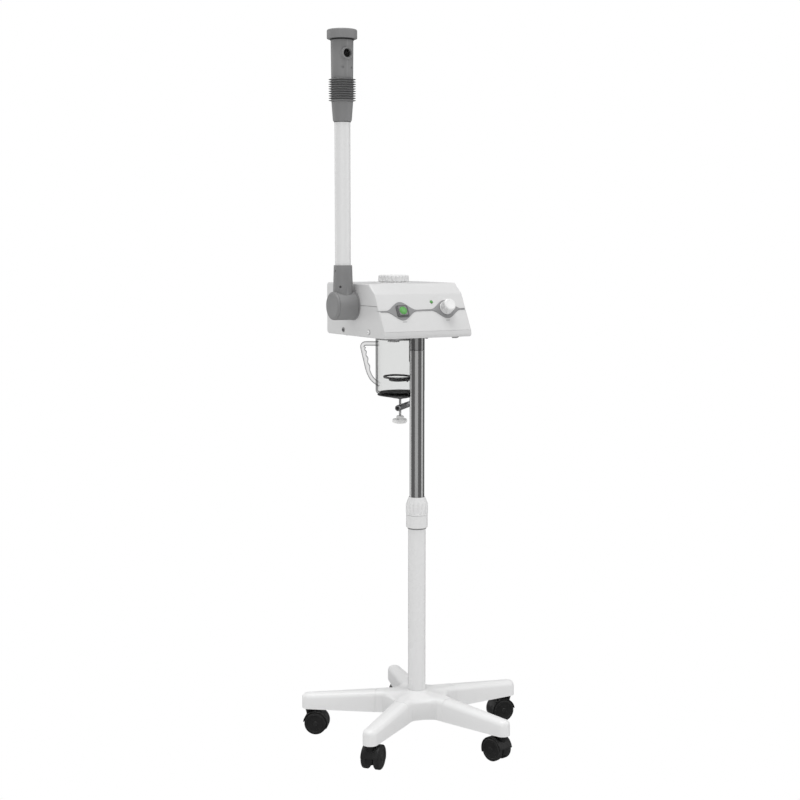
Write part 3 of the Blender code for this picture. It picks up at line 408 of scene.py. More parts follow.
def turned(profile, steps=72, at=(0.0, 0.0), smooth_deg=32):
    """Spin an outline of (radius, z) points about a vertical axis.

    An outline that starts and ends on the axis gives a solid piece, and one that
    stays off it gives a ring.
    """
    bm = bmesh.new()
    rows = []
    for radius, z in profile:
        count = steps if radius > 0 else 1
        rows.append([bm.verts.new((at[0] + radius * cos(tau * i / steps),
                                   at[1] + radius * sin(tau * i / steps), z)) for i in range(count)])
    pairs = list(zip(rows, rows[1:]))
    if profile[0][0] > 0:
        pairs.append((rows[-1], rows[0]))
    for low, high in pairs:
        for i in range(steps):
            j = (i + 1) % steps
            corners = (low[i % len(low)], low[j % len(low)], high[j % len(high)], high[i % len(high)])
            bm.faces.new(list(dict.fromkeys(corners)))
    return finish(bm, smooth_deg)


def raised(base, profile):
    """A profile whose heights are given from base."""
    return [(radius, base + z) for radius, z in profile]


def pipe(inner, outer, low, high, ease=0.0004, top_ease=None, steps=72):
    """Upright tube, or a rod if inner is 0, with eased outer edges."""
    top = ease if top_ease is None else top_ease
    return turned([(inner, low), (outer - ease, low), (outer, low + ease), (outer, high - top),
                   (outer - top, high), (inner, high)], steps)


def arc(centre, radius, start_deg, end_deg, steps=6):
    """Points along an arc, in the plane of a profile."""
    turns = [radians(start_deg + (end_deg - start_deg) * i / steps) for i in range(steps + 1)]
    return [(centre[0] + radius * cos(a), centre[1] + radius * sin(a)) for a in turns]


def prism(outline, low, high):
    """A flat outline of (x, y) points, raised from z = low to z = high."""
    return loft([[(x, y, z) for x, y in outline] for z in (low, high)])


def rounded_rectangle(half_x, half_y, radius, centre=(0.0, 0.0), steps=8):
    points = []
    for corner, (sx, sy) in enumerate(((1, 1), (-1, 1), (-1, -1), (1, -1))):
        middle_of_arc = (centre[0] + sx * (half_x - radius), centre[1] + sy * (half_y - radius))
        points += arc(middle_of_arc, radius, 90 * corner, 90 * corner + 90, steps)
    return points


def disc(radius, steps=48, centre=(0.0, 0.0)):
    return arc(centre, radius, 0, 360 - 360 / steps, steps - 1)


def swept(points, radius, sides=16, flat=1.0, swell=None):
    """A bar along a path; swell(share, angle) adds to its radius."""
    path = [Vector(point) for point in points]
    along = (path[1] - path[0]).normalized()
    across = along.orthogonal().normalized()
    rings = []
    for i, point in enumerate(path):
        before = path[max(i - 1, 0)]
        after = path[min(i + 1, len(path) - 1)]
        along = (after - before).normalized()
        across = (across - along * across.dot(along)).normalized()
        up = along.cross(across)
        ring = []
        for k in range(sides):
            angle = tau * k / sides
            way = cos(angle) * across + flat * sin(angle) * up
            extra = swell(i / (len(path) - 1), way.normalized()) if swell else 0.0
            ring.append(point + (radius + extra) * way)
        rings.append(ring)
    return loft(rings)


def smooth_path(points, per_span=8):
    """A Catmull-Rom curve through the given points."""
    path = [Vector(point) for point in points]
    path = [path[0] * 2 - path[1], *path, path[-1] * 2 - path[-2]]
    made = []
    for a, b, c, d in zip(path, path[1:], path[2:], path[3:]):
        for i in range(per_span):
            t = i / per_span
            made.append(0.5 * (2 * b + (c - a) * t + (2 * a - 5 * b + 4 * c - d) * t * t
                               + (3 * b - a - 3 * c + d) * t ** 3))
    made.append(path[-2])
    return made


def moved(mesh, offset=(0, 0, 0), turn=(0, 0, 0)):
    """Turn a mesh about X, then Y, then Z (degrees), and shift it."""
    for axis, angle in zip("XYZ", turn):
        mesh.transform(Matrix.Rotation(radians(angle), 4, axis))
    mesh.transform(Matrix.Translation(offset))
    return mesh


def facing(outline, start, end):
    """A flat outline of (x, z) points, raised towards the front from y = -start to y = -end."""
    return moved(prism(outline, start, end), turn=(90, 0, 0))


def sideways(outline, low, high):
    """A prism turned to lie along X, from x = low to x = high."""
    return moved(prism(outline, low, high), turn=(0, 90, 0))


def evaluated(work, extra=()):
    """The mesh that an object's modifiers make; the object and its tools are removed."""
    seen = bpy.context.evaluated_depsgraph_get()
    result = bpy.data.meshes.new_from_object(work.evaluated_get(seen))
    for item in (work, *extra):
        bpy.data.objects.remove(item)
    return result


def linked(name, mesh):
    made = bpy.data.objects.new(name, mesh)
    bpy.context.scene.collection.objects.link(made)
    return made


def carved(base, add=(), cut=(), smooth_deg=32):
    """Join meshes to a base mesh and cut others out of it."""
    work = linked("work", base)
    tools = []
    for operation, meshes in (("UNION", add), ("DIFFERENCE", cut)):
        for mesh in meshes:
            tools.append(linked("tool", mesh))
            step = work.modifiers.new(operation.lower(), "BOOLEAN")
            step.operation = operation
            step.object = tools[-1]
            step.solver = "EXACT"
    result = evaluated(work, tools)
    result.materials.clear()
    return smoothed(result, smooth_deg)


def softened(mesh, width, segments=3, angle=35):
    """Round every edge that is sharper than angle."""
    work = linked("work", mesh)
    step = work.modifiers.new("bevel", "BEVEL")
    step.width = width
    step.segments = segments
    step.limit_method = "ANGLE"
    step.angle_limit = radians(angle)
    step.use_clamp_overlap = True
    return smoothed(evaluated(work), 40)


# ---------------------------------------------------------------- placing

def shown(name, mesh, material, body, nodes=(), place=None):
    """A finished piece that rides on a body and stands for CAD nodes."""
    made = linked(name, mesh)
    if not mesh.materials:
        mesh.materials.append(material)
    made.matrix_world = Matrix.Translation(COLUMN) @ (place or Matrix.Identity(4))
    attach(made, body)
    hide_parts(*nodes)
    return made


def stands_for(node, mesh, material, body, place=None):
    return shown(f"{node}_finished", mesh, material, body, (node,), place)


def dressed(node, material):
    """A CAD node that is shown as it is, with a finish of its own."""
    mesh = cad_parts[node].data
    mesh.materials.clear()
    mesh.materials.append(material)


def on_panel(x, up):
    """Place on the sloping front: x across, up the slope from the crease, z outwards."""
    return at(*CREASE) @ Matrix.Rotation(PANEL_TILT, 4, "X") @ at(x, up, 0)


def at(x, y, z):
    return Matrix.Translation((x, y, z))


OUT_LEFT = Matrix.Rotation(radians(-90), 4, "Y")     # turns +Z to -X, out of the left side


# ---------------------------------------------------------------- stand

def shoulder_levels(top, steps=7):
    """Inset and height up the rounded shoulder that the legs and the hub share."""
    turns = [pi / 2 * i / steps for i in range(1, steps + 1)]
    return [(SHOULDER * (1 - cos(a)), top - SHOULDER_DROP * (1 - sin(a))) for a in turns]


def leg_half(reach):
    return LEG_TIP_R + LEG_TAPER * (LEG_TIP_CENTRE - reach)


def leg_top(reach):
    return LEG_TIP_TOP + LEG_FALL * (LEG_TIP_CENTRE - reach)


def hub_outline(inset, drop):
    """One level of the hub's side: leg ends, leg sides and hollow webs, as (x, y, z) points."""
    end = LEG_ROOT - GAP
    sides = [end + (HUB_CORNER - end) * i / 6 for i in range(1, 7)]
    corner_r = hypot(HUB_CORNER, leg_half(HUB_CORNER))
    first = atan2(leg_half(HUB_CORNER), HUB_CORNER)
    last = tau / LEG_COUNT - first
    points = []
    for k in range(LEG_COUNT):
        turn = Matrix.Rotation(tau * k / LEG_COUNT, 3, "Z")
        next_turn = Matrix.Rotation(tau * (k + 1) / LEG_COUNT, 3, "Z")
        half = leg_half(end) - inset
        local = [(end, -half + 2 * half * i / 8, leg_top(end) - drop) for i in range(9)]
        local += [(x, leg_half(x) - inset, leg_top(x) - drop) for x in sides]
        for i in range(1, 24):
            share = i / 24
            hollow = sin(pi * share)
            rim = leg_top(HUB_CORNER) + (HUB_WEB_TOP - leg_top(HUB_CORNER)) * hollow ** 0.5
            reach = corner_r + (HUB_WEB_R - corner_r) * hollow ** 0.6 - inset * (1 - 0.25 * hollow)
            angle = first + (last - first) * share
            local.append((reach * cos(angle), reach * sin(angle), rim - drop * (1 - 0.35 * hollow)))
        points += [turn @ Vector(point) for point in local]
        points += [next_turn @ Vector((x, inset - leg_half(x), leg_top(x) - drop)) for x in reversed(sides)]
    return points


def hub_mesh():
    """Hub: hollow webs between the leg roots, rising to a crown round the tube."""
    low = HUB_UNDERSIDE + 0.0005
    wall = hub_outline(0.0, SHOULDER_DROP)
    rings = [[Vector((p.x, p.y, low)) for p in hub_outline(0.0008, 0.0)],
             [Vector((p.x, p.y, low + 0.0008)) for p in wall], wall]
    rings += [hub_outline(inset, -z) for inset, z in shoulder_levels(0.0)]
    rim = rings[-1]
    crown_r = 0.0262
    for share in (0.12, 0.25, 0.40, 0.55, 0.70, 0.85, 1.0):
        ring = []
        for p in rim:
            flat = Vector((p.x, p.y, 0))
            reach = flat * (1 - share) + flat.normalized() * crown_r * share
            rise = min(p.z + (HUB_TOP - 0.0022 - p.z) * share ** 0.8, HUB_TOP - 0.0020)
            ring.append(Vector((reach.x, reach.y, rise)))
        rings.append(ring)
    crown = raised(HUB_TOP, ((0.0248, -0.0016), (0.0237, -0.0009), (0.0228, -0.0003), (0.0218, 0),
                             (LOWER_R + GAP, 0)))
    for radius, z in crown + [(LOWER_R + GAP, low)]:
        rings.append([Vector((*(p.xy.normalized() * radius), z)) for p in rim])
    half = leg_half(LEG_ROOT) - SHOULDER * 0.65
    seam = LEG_ROOT - 0.0013
    grooves = []
    for k in range(LEG_COUNT):
        groove = prism(((seam, -half), (LEG_ROOT, -half), (LEG_ROOT, half), (seam, half)),
                       leg_top(LEG_ROOT) - 0.0011, HUB_TOP)
        grooves.append(moved(groove, turn=(0, 0, 360 / LEG_COUNT * k)))
    return carved(loft(rings, closed=True), cut=grooves, smooth_deg=40)


def leg_section(reach, half, top):
    """Inverted U across a leg, with a flat strip along its top."""
    share = min(1.0, half / leg_half(LEG_ROOT) * 1.25)
    strip = 0.0004
    side = [(half, LEG_UNDERSIDE), (half, LEG_UNDERSIDE + 0.010), (half, top - SHOULDER_DROP)]
    side += [(half - across * share, z - strip) for across, z in shoulder_levels(top)]
    edge = side[-1][0]
    side += [(edge - 0.0007 * share, top), (edge * 0.5, top + 0.0001)]
    return [(reach, y, z) for y, z in side] + [(reach, -y, z) for y, z in reversed(side)]


def leg_mesh():
    """One leg along +X, ribbed underneath, with a round end and a stem socket."""
    sections = []
    for i in range(9):
        reach = LEG_ROOT + (LEG_TIP_CENTRE - LEG_ROOT) * i / 8
        sections.append(leg_section(reach, leg_half(reach), leg_top(reach)))
    for i in range(1, 12):
        angle = radians(88 * i / 11)
        top = LEG_TIP_TOP - SHOULDER_DROP * (1 - cos(angle)) * 0.9
        sections.append(leg_section(LEG_TIP_CENTRE + LEG_TIP_R * sin(angle), LEG_TIP_R * cos(angle), top))
    outer = loft(sections, smooth_deg=45)
    pockets = []
    first = LEG_ROOT + 0.004
    last = STEM_AT - 0.022
    count = 3
    rib = 0.0025
    pocket_low = 0.050
    for i in range(count):
        low = first + (last - first) * i / count
        high = first + (last - first) * (i + 1) / count - rib
        ends = []
        for x in (low, high):
            half = leg_half(x) - 0.0030
            height = leg_top(x) - 0.0085
            ends.append([(x, y, z) for y, z in ((half, pocket_low), (half * 0.8, height),
                                                (-half * 0.8, height), (-half, pocket_low))])
        pockets.append(loft(ends))
    socket = prism(disc(STEM_R + GAP, 32, (STEM_AT, 0)), pocket_low - 0.01, STEM_TOP + 0.002)
    return carved(outer, cut=(*pockets, socket), smooth_deg=42)


def build_stand():
    stands_for("base_hub", hub_mesh(), STAND_WHITE, "stand")
    leg = leg_mesh()
    for k in range(LEG_COUNT):
        turn = Matrix.Rotation(tau * k / LEG_COUNT, 4, "Z")
        stands_for(f"base_leg_{k + 1}", leg, STAND_WHITE, "stand", turn)
    low = HUB_UNDERSIDE - 0.0075
    hexagon = softened(prism(disc(0.0105, 6), low, low + 0.0050), 0.0006)
    bolt_r = 0.0041
    bolt_top = 0.070
    washer_and_shade_ring = turned(raised(low, ((0, 0.0051), (0.0155, 0.0051), (0.016, 0.0054), (0.016, 0.0069),
                                 (0.0156, 0.0072), (bolt_r, 0.0072)))
                    + [(bolt_r, bolt_top), (0, bolt_top)])
    stands_for("column_bolt", carved(washer_and_shade_ring, add=(hexagon,)), STEEL, "stand")


# ---------------------------------------------------------------- castors

def castor_body_mesh():
    """Hood, middle web, axle and stem; the stem is at the origin and it trails to +X."""
    first, last = -22, 172
    outer = arc((TRAIL, 0), HOOD_R, first, last, 40)
    inner = arc((TRAIL, 0), HOOD_IN_R, last, first, 40)
    hood = softened(facing(outer + inner, -HOOD_HALF, HOOD_HALF), 0.0006)
    web = softened(facing(arc((TRAIL, 0), WEB_R, -40, 200, 40), -WEB_HALF, WEB_HALF), 0.0006)
    axle = facing(disc(AXLE_R, 24, (TRAIL, 0)), -AXLE_HALF, AXLE_HALF)
    seat_top = LEG_UNDERSIDE - GAP - WHEEL_R
    stem_top = STEM_TOP - WHEEL_R
    seat = turned([(0, 0.008), (0.0068, 0.008), (0.0070, 0.018), (0.0090, 0.0265), (0.0098, 0.0290),
                   (0.0098, seat_top - 0.0006), (0.0092, seat_top), (STEM_R, seat_top),
                   (STEM_R, stem_top - 0.001), (STEM_R - 0.001, stem_top), (0, stem_top)], 40)
    return moved(carved(hood, add=(web, axle, seat), smooth_deg=40), offset=(0, 0, WHEEL_R))


def wheel_mesh():
    """A wheel on the Y axis, with a dished outer face and a rounded tread."""
    half = WHEEL_HALF
    face = [(0, half), (0.0050, half), (0.0056, half - 0.0006), (0.0062, half - 0.0011),
            (0.0172, half - 0.0013), (0.0180, half - 0.0006), (0.0186, half - 0.0002),
            (0.0205, half - 0.0004)]
    tread = arc((WHEEL_R - 0.0036, half - 0.0040), 0.0036, 80, 0, 6)
    tread += [(WHEEL_R, -half + 0.0012), (WHEEL_R - 0.0012, -half)]
    hole = [(AXLE_R + GAP, -half), (AXLE_R + GAP, half - 0.0016), (0, half - 0.0016)]
    wheel = turned(face + tread + hole, 64)
    wheel.materials.append(BLACK)
    wheel.materials.append(TREAD)
    for part in wheel.polygons:
        reach = hypot(part.center.x, part.center.y)
        part.material_index = 1 if reach > WHEEL_R - 0.0032 else 0
    return moved(wheel, turn=(-90, 0, 0))


def build_castors():
    body = castor_body_mesh()
    left = wheel_mesh()
    right = moved(wheel_mesh(), turn=(0, 0, 180))
    for k, heading in enumerate(CASTOR_HEADINGS):
        leg = tau * k / LEG_COUNT
        stem = at(STEM_AT * cos(leg), STEM_AT * sin(leg), 0) @ Matrix.Rotation(radians(heading), 4, "Z")
        name = f"castor_{k + 1}"
        stands_for(f"{name}_body", body, BLACK, name, stem)
        for side, mesh, offset in (("left", left, WHEEL_MID), ("right", right, -WHEEL_MID)):
            stands_for(f"{name}_wheel_{side}", mesh, BLACK, f"{name}_{side}",
                       stem @ at(TRAIL, offset, WHEEL_R))


# ---------------------------------------------------------------- column

def nut_mesh():
    """Clamping nut: broad ribs that run out in arches under a domed crown."""
    ribs = 14
    per_rib = 12
    count = ribs * per_rib
    rib_low = NUT_LOW + 0.0034
    rib_top = 0.5195

    def groove(share):
        """Depth of the groove between two ribs, by place across a rib."""
        return exp(-((share - 0.5) / 0.20) ** 2)

    def ring(radius, z, depth=0.0):
        made = []
        for i in range(count):
            reach = radius - depth * groove(i % per_rib / per_rib)
            made.append((reach * cos(tau * i / count), reach * sin(tau * i / count), z))
        return made

    bore = 0.0205
    bore_top = 0.506
    rings = [ring(bore, NUT_LOW)]
    for base, levels in ((NUT_LOW, ((-0.0010, 0, 0), (0, 0.0008, 0), (0, 0.0022, 0))),
                         (rib_low, ((-0.0004, -0.0004, 0), (0.0002, 0.0004, 0.0012),
                                    (0.0006, 0.0012, 0.0029))),
                         (rib_top, ((0.0006, -0.0030, 0.0029), (0.0003, -0.0010, 0.0022),
                                    (-0.0004, 0.0010, 0.0010), (-0.0014, 0.0035, 0.0003)))):
        rings += [ring(COLLAR_R + out, base + up, depth) for out, up, depth in levels]
    crown = [(0.0211, 0.5252), (0.0201, 0.5280), (0.0190, 0.5306), (0.0180, NUT_TOP - 0.0012),
             (0.0172, NUT_TOP), (MAST_R + GAP, NUT_TOP), (MAST_R + GAP, bore_top), (bore, bore_top)]
    rings += [ring(radius, z) for radius, z in crown]
    return loft(rings, closed=True, smooth_deg=40)


def build_column():
    tube = turned([(LOWER_IN_R, LOWER_LOW), (LOWER_R, LOWER_LOW), (LOWER_R, LOWER_TOP - 0.0005),
                   (LOWER_R - 0.0005, LOWER_TOP), (LOWER_IN_R, LOWER_TOP)])
    stands_for("lower_column", tube, PAINT, "stand")
    split = NUT_LOW - GAP
    ease = 0.0027
    edge = arc((0.0208, COLLAR_LOW + ease), ease, -80, 0, 8)
    ring = turned([(LOWER_R + GAP, COLLAR_LOW), (0.0203, COLLAR_LOW), *edge,
                   (COLLAR_R - 0.0002, split - 0.004), (COLLAR_R, split - 0.0012),
                   (COLLAR_R - 0.0005, split - 0.0003), (COLLAR_R - 0.0012, split), (LOWER_R + GAP, split)])
    stands_for("collar_base", ring, KNOB, "stand")
    # Dark silicone band just below the collar: a painted shadow, standing for the shade that the collar
    # casts on the tube.
    shadow_band_in = LOWER_R + GAP / 2
    shadow_band_out = LOWER_R + 0.0014
    shadow_band = turned(raised(COLLAR_LOW, ((shadow_band_in, -0.0026), (LOWER_R + 0.0009, -0.0026),
                                      (shadow_band_out, -0.0022), (shadow_band_out, -GAP), (shadow_band_in, -GAP))))
    shown("collar_shadow_band", shadow_band, SILICONE, "stand")
    stands_for("collar_nut", nut_mesh(), KNOB, "collar")
    bush_low, bush_top = (corner.z for corner in span("column_bush"))
    rest = LOWER_TOP + GAP
    bush = turned([(MAST_R + GAP, bush_low), (LOWER_IN_R - GAP, bush_low), (LOWER_IN_R - GAP, rest),
                   (LOWER_R, rest), (LOWER_R, bush_top - 0.0005), (LOWER_R - 0.0005, bush_top),
                   (MAST_R + GAP, bush_top)])
    stands_for("column_bush", bush, BLACK, "stand")
    inside = MAST_R - 0.0015
    mast = pipe(inside, MAST_R, MAST_LOW, MAST_TOP, 0.0005, 0.0007, 96)
    stands_for("mast_tube", mast, CHROME, "mast")
    spigot = inside - GAP
    low = MAST_TOP + GAP
    spigot_low, flange_top = (corner.z for corner in span("mast_socket"))
    flange = HOUSE_LOW + WALL + GAP
    flange_r = 0.030
    socket = turned([(0, spigot_low), (spigot, spigot_low), (spigot, low), (MAST_R - 0.0008, low),
                     (MAST_R, low + 0.0008), (MAST_R, flange), (flange_r - 0.0005, flange),
                     (flange_r, flange + 0.0005), (flange_r, flange_top), (0, flange_top)], 96)
    # The socket's darker chrome is painted shade.
    stands_for("mast_socket", socket, SHADED_CHROME, "head")


# ---------------------------------------------------------------- housing

def side_outline(inset=0.0):
    """Side view of the housing as (y, z) points, moved in by a wall's thickness."""
    outline = [Vector(p) for p in ((HOUSE_BACK, HOUSE_LOW), (HOUSE_BACK, HOUSE_TOP),
                                   (TOP_FRONT_Y, HOUSE_TOP), BREAK.yz, CREASE.yz, (LIP_Y, HOUSE_LOW))]
    rounds = (BACK_ROUND, BACK_ROUND, 0, 0, 0, LIP_ROUND)
    corners = []
    for i, here in enumerate(outline):
        before = (here - outline[i - 1]).normalized()
        after = (outline[(i + 1) % len(outline)] - here).normalized()
        normal = Vector((-before.y - after.y, before.x + after.x)).normalized()
        corners.append(here + normal * inset / normal.dot(Vector((-before.y, before.x))))
    made = []
    for i, corner in enumerate(corners):
        after = corners[(i + 1) % len(corners)]
        made += rounded_corner(corners[i - 1], corner, after, rounds[i] - inset)
    return made


def rounded_corner(before, corner, after, radius, steps=8):
    """Points of the arc that rounds a corner, or the corner if it stays sharp."""
    if radius <= 0:
        return [corner]
    back = (before - corner).normalized()
    ahead = (after - corner).normalized()
    half = back.angle(ahead) / 2
    centre = corner + (back + ahead).normalized() * radius / sin(half)
    start = corner + back * radius / tan(half) - centre
    end = corner + ahead * radius / tan(half) - centre
    return [centre + start.lerp(end, i / steps).normalized() * radius for i in range(steps + 1)]


def side_prism(outline, half):
    return loft([[(x, y, z) for y, z in outline] for x in (-half, half)])


def rounded_block():
    """The housing's outer form, with its side edges rounded and its folds eased."""
    bm = bmesh.new()
    bm.from_mesh(side_prism(side_outline(), HOUSE_HALF))
    corner = radians(50)
    fold = radians(16)
    sharp = [e for e in bm.edges if e.calc_face_angle(0) > corner]
    bmesh.ops.bevel(bm, geom=sharp, offset=0.0030, segments=4, profile=0.5, affect="EDGES",
                    clamp_overlap=True)
    folds = [e for e in bm.edges if fold < e.calc_face_angle(0) < corner
             and abs(e.verts[0].co.x - e.verts[1].co.x) > HOUSE_HALF]
    bmesh.ops.bevel(bm, geom=folds, offset=0.0012, segments=2, profile=0.5, affect="EDGES",
                    clamp_overlap=True)
    return finish(bm, 24)


def shell_split(upper, gap):
    """Block that removes everything below, or above, the joint between the shells."""
    rise = gap if upper else 0.0
    side = SPLIT_Z + rise
    front = SPLIT_FRONT_Z + rise
    step = SPLIT_STEP_Y - rise
    far = 0.70 if upper else 1.2
    outline = [(BEHIND, side), (step, side), (step, front), (AHEAD, front), (AHEAD, far), (BEHIND, far)]
    return side_prism(outline, WIDE)


def upright_hole(radius, x, y, heights):
    return prism(disc(radius, 48, (x, y)), *heights)


def panel_cut(outline, low=-0.02, high=0.02):
    """An outline on the sloping front, raised through it."""
    mesh = prism(outline, low, high)
    mesh.transform(on_panel(0, 0))
    return mesh


def front_holes():
    """Openings for the button, the knob's shaft and the indicator."""
    return (panel_cut(rounded_rectangle(BUTTON_HOLE, BUTTON_HOLE, 0.002, (BUTTON_X, BUTTON_UP))),
            panel_cut(disc(SHAFT_HOLE_R, 32, (KNOB_X, KNOB_UP))),
            panel_cut(disc(LED_R + 0.0004, 32, (LED_X, LED_UP))))


def lip_groove():
    """Fine groove across the front, just above the lip."""
    return panel_cut(rounded_rectangle(HOUSE_HALF - 0.0022, 0.0005, 0.0004, (0, 0.0006), 4), -0.0007)


def arm_hole():
    """Room for the steam pipe, which crosses the joint between the shells."""
    return moved(sideways(disc(0.0150, 48), -0.12, -0.095), (0, ARM_Y, PIVOT_Z))


def vent_slots():
    """Rows of cooling slots through the back, beside the inlet."""
    return [facing(rounded_rectangle(0.0150, 0.0011, 0.0010, (x, 0.902 + 0.0055 * row), 4),
                   -HOUSE_BACK - 0.01, -HOUSE_BACK + 0.01) for x in (-0.060, -0.020) for row in range(6)]


def housing_shell(upper, cuts):
    inner = side_prism(side_outline(WALL), HOUSE_HALF - WALL)
    cuts = (inner, shell_split(upper, SEAM), arm_hole(), *front_holes(), *cuts)
    return carved(rounded_block(), cut=cuts, smooth_deg=24)


def lower_shell():
    """Lower shell, with holes for the mast, the steam, the terminal, the water and the inlet."""
    holes = [upright_hole(radius, x, y, HOUSE_FLOOR)
             for radius, x, y in ((MAST_R + GAP, 0, 0), (0.0125, PORT_X, JAR_Y), (0.0125, *TERMINAL),
                                  (0.0135, 0, FILL_Y))]
    inlet = facing(rounded_rectangle(0.0145, 0.0105, 0.002, INLET), -HOUSE_BACK - 0.002,
                   -HOUSE_BACK + 0.018)
    return housing_shell(False, (*holes, inlet, *vent_slots(), lip_groove()))


def joint_strip():
    """Tongue inside the joint of the shells, so that no light shows through it."""
    outer, inner = (side_prism(side_outline(WALL + depth), HOUSE_HALF - WALL - depth)
                    for depth in (0.0001, 0.0014))
    side_low, side_high = SPLIT_Z - 0.003, SPLIT_Z + 0.004
    front_low, front_high = SPLIT_FRONT_Z - 0.003, SPLIT_FRONT_Z + 0.004
    keep_side = side_prism([(BEHIND, side_low), (-0.012, side_low), (-0.012, side_high),
                            (BEHIND, side_high)], WIDE)
    keep_front = side_prism([(-0.008, front_low), (AHEAD, front_low), (AHEAD, front_high),
                             (-0.021, side_high), (-0.008, side_high)], WIDE)
    ring = carved(outer, cut=(inner, arm_hole(), *front_holes()))
    work = linked("work", ring)
    keep = linked("tool", carved(keep_side, add=(keep_front,)))
    step = work.modifiers.new("keep", "BOOLEAN")
    step.operation = "INTERSECT"
    step.object = keep
    step.solver = "EXACT"
    result = evaluated(work, (keep,))
    result.materials.clear()
    return smoothed(result)


def band_mesh():
    """Wavy trim that swells round the button and the knob."""
    end = HOUSE_HALF - 0.0035
    count = 160

    def half_height(x):
        swell = 0.0016
        for centre, _ in BAND_SWELLS:
            if abs(x - centre) < BAND_SWELL_HALF:
                swell += 0.0195 * cos(pi * (x - centre) / (2 * BAND_SWELL_HALF)) ** 2
        return swell

    def centre_line(x):
        (x0, up0), (x1, up1) = BAND_SWELLS
        return up0 + (up1 - up0) * min(max((x - x0) / (x1 - x0), 0), 1)

    xs = [-end + 2 * end * i / count for i in range(count + 1)]
    levels = ((0.0, GAP), (0.0, BAND_TOP - 0.0004), (0.00015, BAND_TOP - 0.0001), (0.0005, BAND_TOP))
    rings = []
    for inset, z in levels:
        low = [(x * (1 - inset / end), centre_line(x) - half_height(x) + inset, z) for x in xs]
        high = [(x * (1 - inset / end), centre_line(x) + half_height(x) - inset, z) for x in reversed(xs)]
        rings.append(low + high)
    holes = (prism(rounded_rectangle(BUTTON_HOLE, BUTTON_HOLE, 0.002, (BUTTON_X, BUTTON_UP)), -0.01, 0.01),
             prism(disc(SHAFT_HOLE_R, 32, (KNOB_X, KNOB_UP)), -0.01, 0.01))
    return carved(loft(rings), cut=holes)


def bezel_mesh():
    """Square frame round the button, with a rounded top edge and a slope down to the button."""
    corners = 0.0042
    opening = BUTTON_HALF + 0.0004
    levels = ((0.0, 0.0), (0.0, 0.0014), (0.0003, 0.0021), (0.0010, 0.0025), (0.0016, 0.0026))
    rings = [[(x, y, z) for x, y in rounded_rectangle(0.0142 - inset, 0.0132 - inset, corners - inset)]
             for inset, z in levels]
    for extra, z in ((0.0009, 0.0026), (0.0002, 0.0022), (0.0, 0.0010), (0.0, 0.0)):
        rings.append([(x, y, z) for x, y in rounded_rectangle(opening + extra, opening + extra, 0.0022)])
    return loft(rings, closed=True)


def button_mesh():
    """Push button with a rounded top edge and a round well for its lens."""
    top = 0.0056
    levels = ((0.0, -0.0060), (0.0, top - 0.0012), (0.0003, top - 0.0005), (0.0008, top - 0.0001),
              (0.0012, top))
    rings = [[(x, y, z) for x, y in rounded_rectangle(BUTTON_HALF - inset, BUTTON_HALF - inset,
                                                      0.0022 - inset * 0.5)] for inset, z in levels]
    well = turned([(0, LENS_LOW), (LENS_R + GAP, LENS_LOW), (LENS_R + GAP, top - 0.0005), (0.0094, 0.0064),
                   (0, 0.0064)], 64)
    return carved(loft(rings), cut=(well,))


def lens_mesh():
    """Round lens with a stepped rim and a low dome."""
    low = LENS_LOW + GAP
    return turned([(0, low), (LENS_R, low), (LENS_R, 0.0057), (0.0086, 0.0060), (0.0074, 0.0061),
                   (0.0070, 0.0068), (0.0055, 0.0073), (0.0036, 0.0076), (0.0018, 0.00775), (0, 0.0078)],
                  64, smooth_deg=25)


def fluted(low, levels, flutes, per_flute=6, sharpness=1.0):
    """Lathe work with flutes: each level is (radius, height above low, flute depth)."""
    count = flutes * per_flute
    rings = []
    for radius, z, depth in levels:
        ring = []
        for i in range(count):
            dip = (0.5 - 0.5 * cos(tau * i / per_flute)) ** sharpness
            reach = radius - depth * dip
            ring.append((reach * cos(tau * i / count), reach * sin(tau * i / count), low + z))
        rings.append(ring)
    return loft(rings)


def knob_mesh():
    """Round knob: thin skirt, fluted side, rounded edge and a slightly dished face."""
    low = BAND_TOP + GAP
    knob = fluted(low, ((0.0146, 0, 0), (0.0150, 0.0004, 0), (0.0150, 0.0014, 0), (0.0147, 0.0020, 0.0004),
                        (0.0146, 0.0026, 0.0023), (0.0140, 0.0165, 0.0023), (0.0139, 0.0175, 0.0010),
                        (0.0137, 0.0183, 0), (0.0133, 0.0195, 0), (0.0126, 0.0204, 0), (0.0116, 0.0209, 0),
                        (0.0104, 0.0210, 0), (0.0096, 0.0208, 0), (0.0050, 0.0207, 0),
                        (0.0006, 0.0207, 0)), 28, sharpness=0.8)
    pointer = softened(prism(rounded_rectangle(0.0006, 0.0026, 0.0005, (0, 0.0096), 4), low + 0.0192,
                             low + 0.0213), 0.0002)
    shaft_hole = prism(disc(0.0033, 32), -0.01, 0.0188)
    return carved(knob, add=(pointer,), cut=(shaft_hole,))


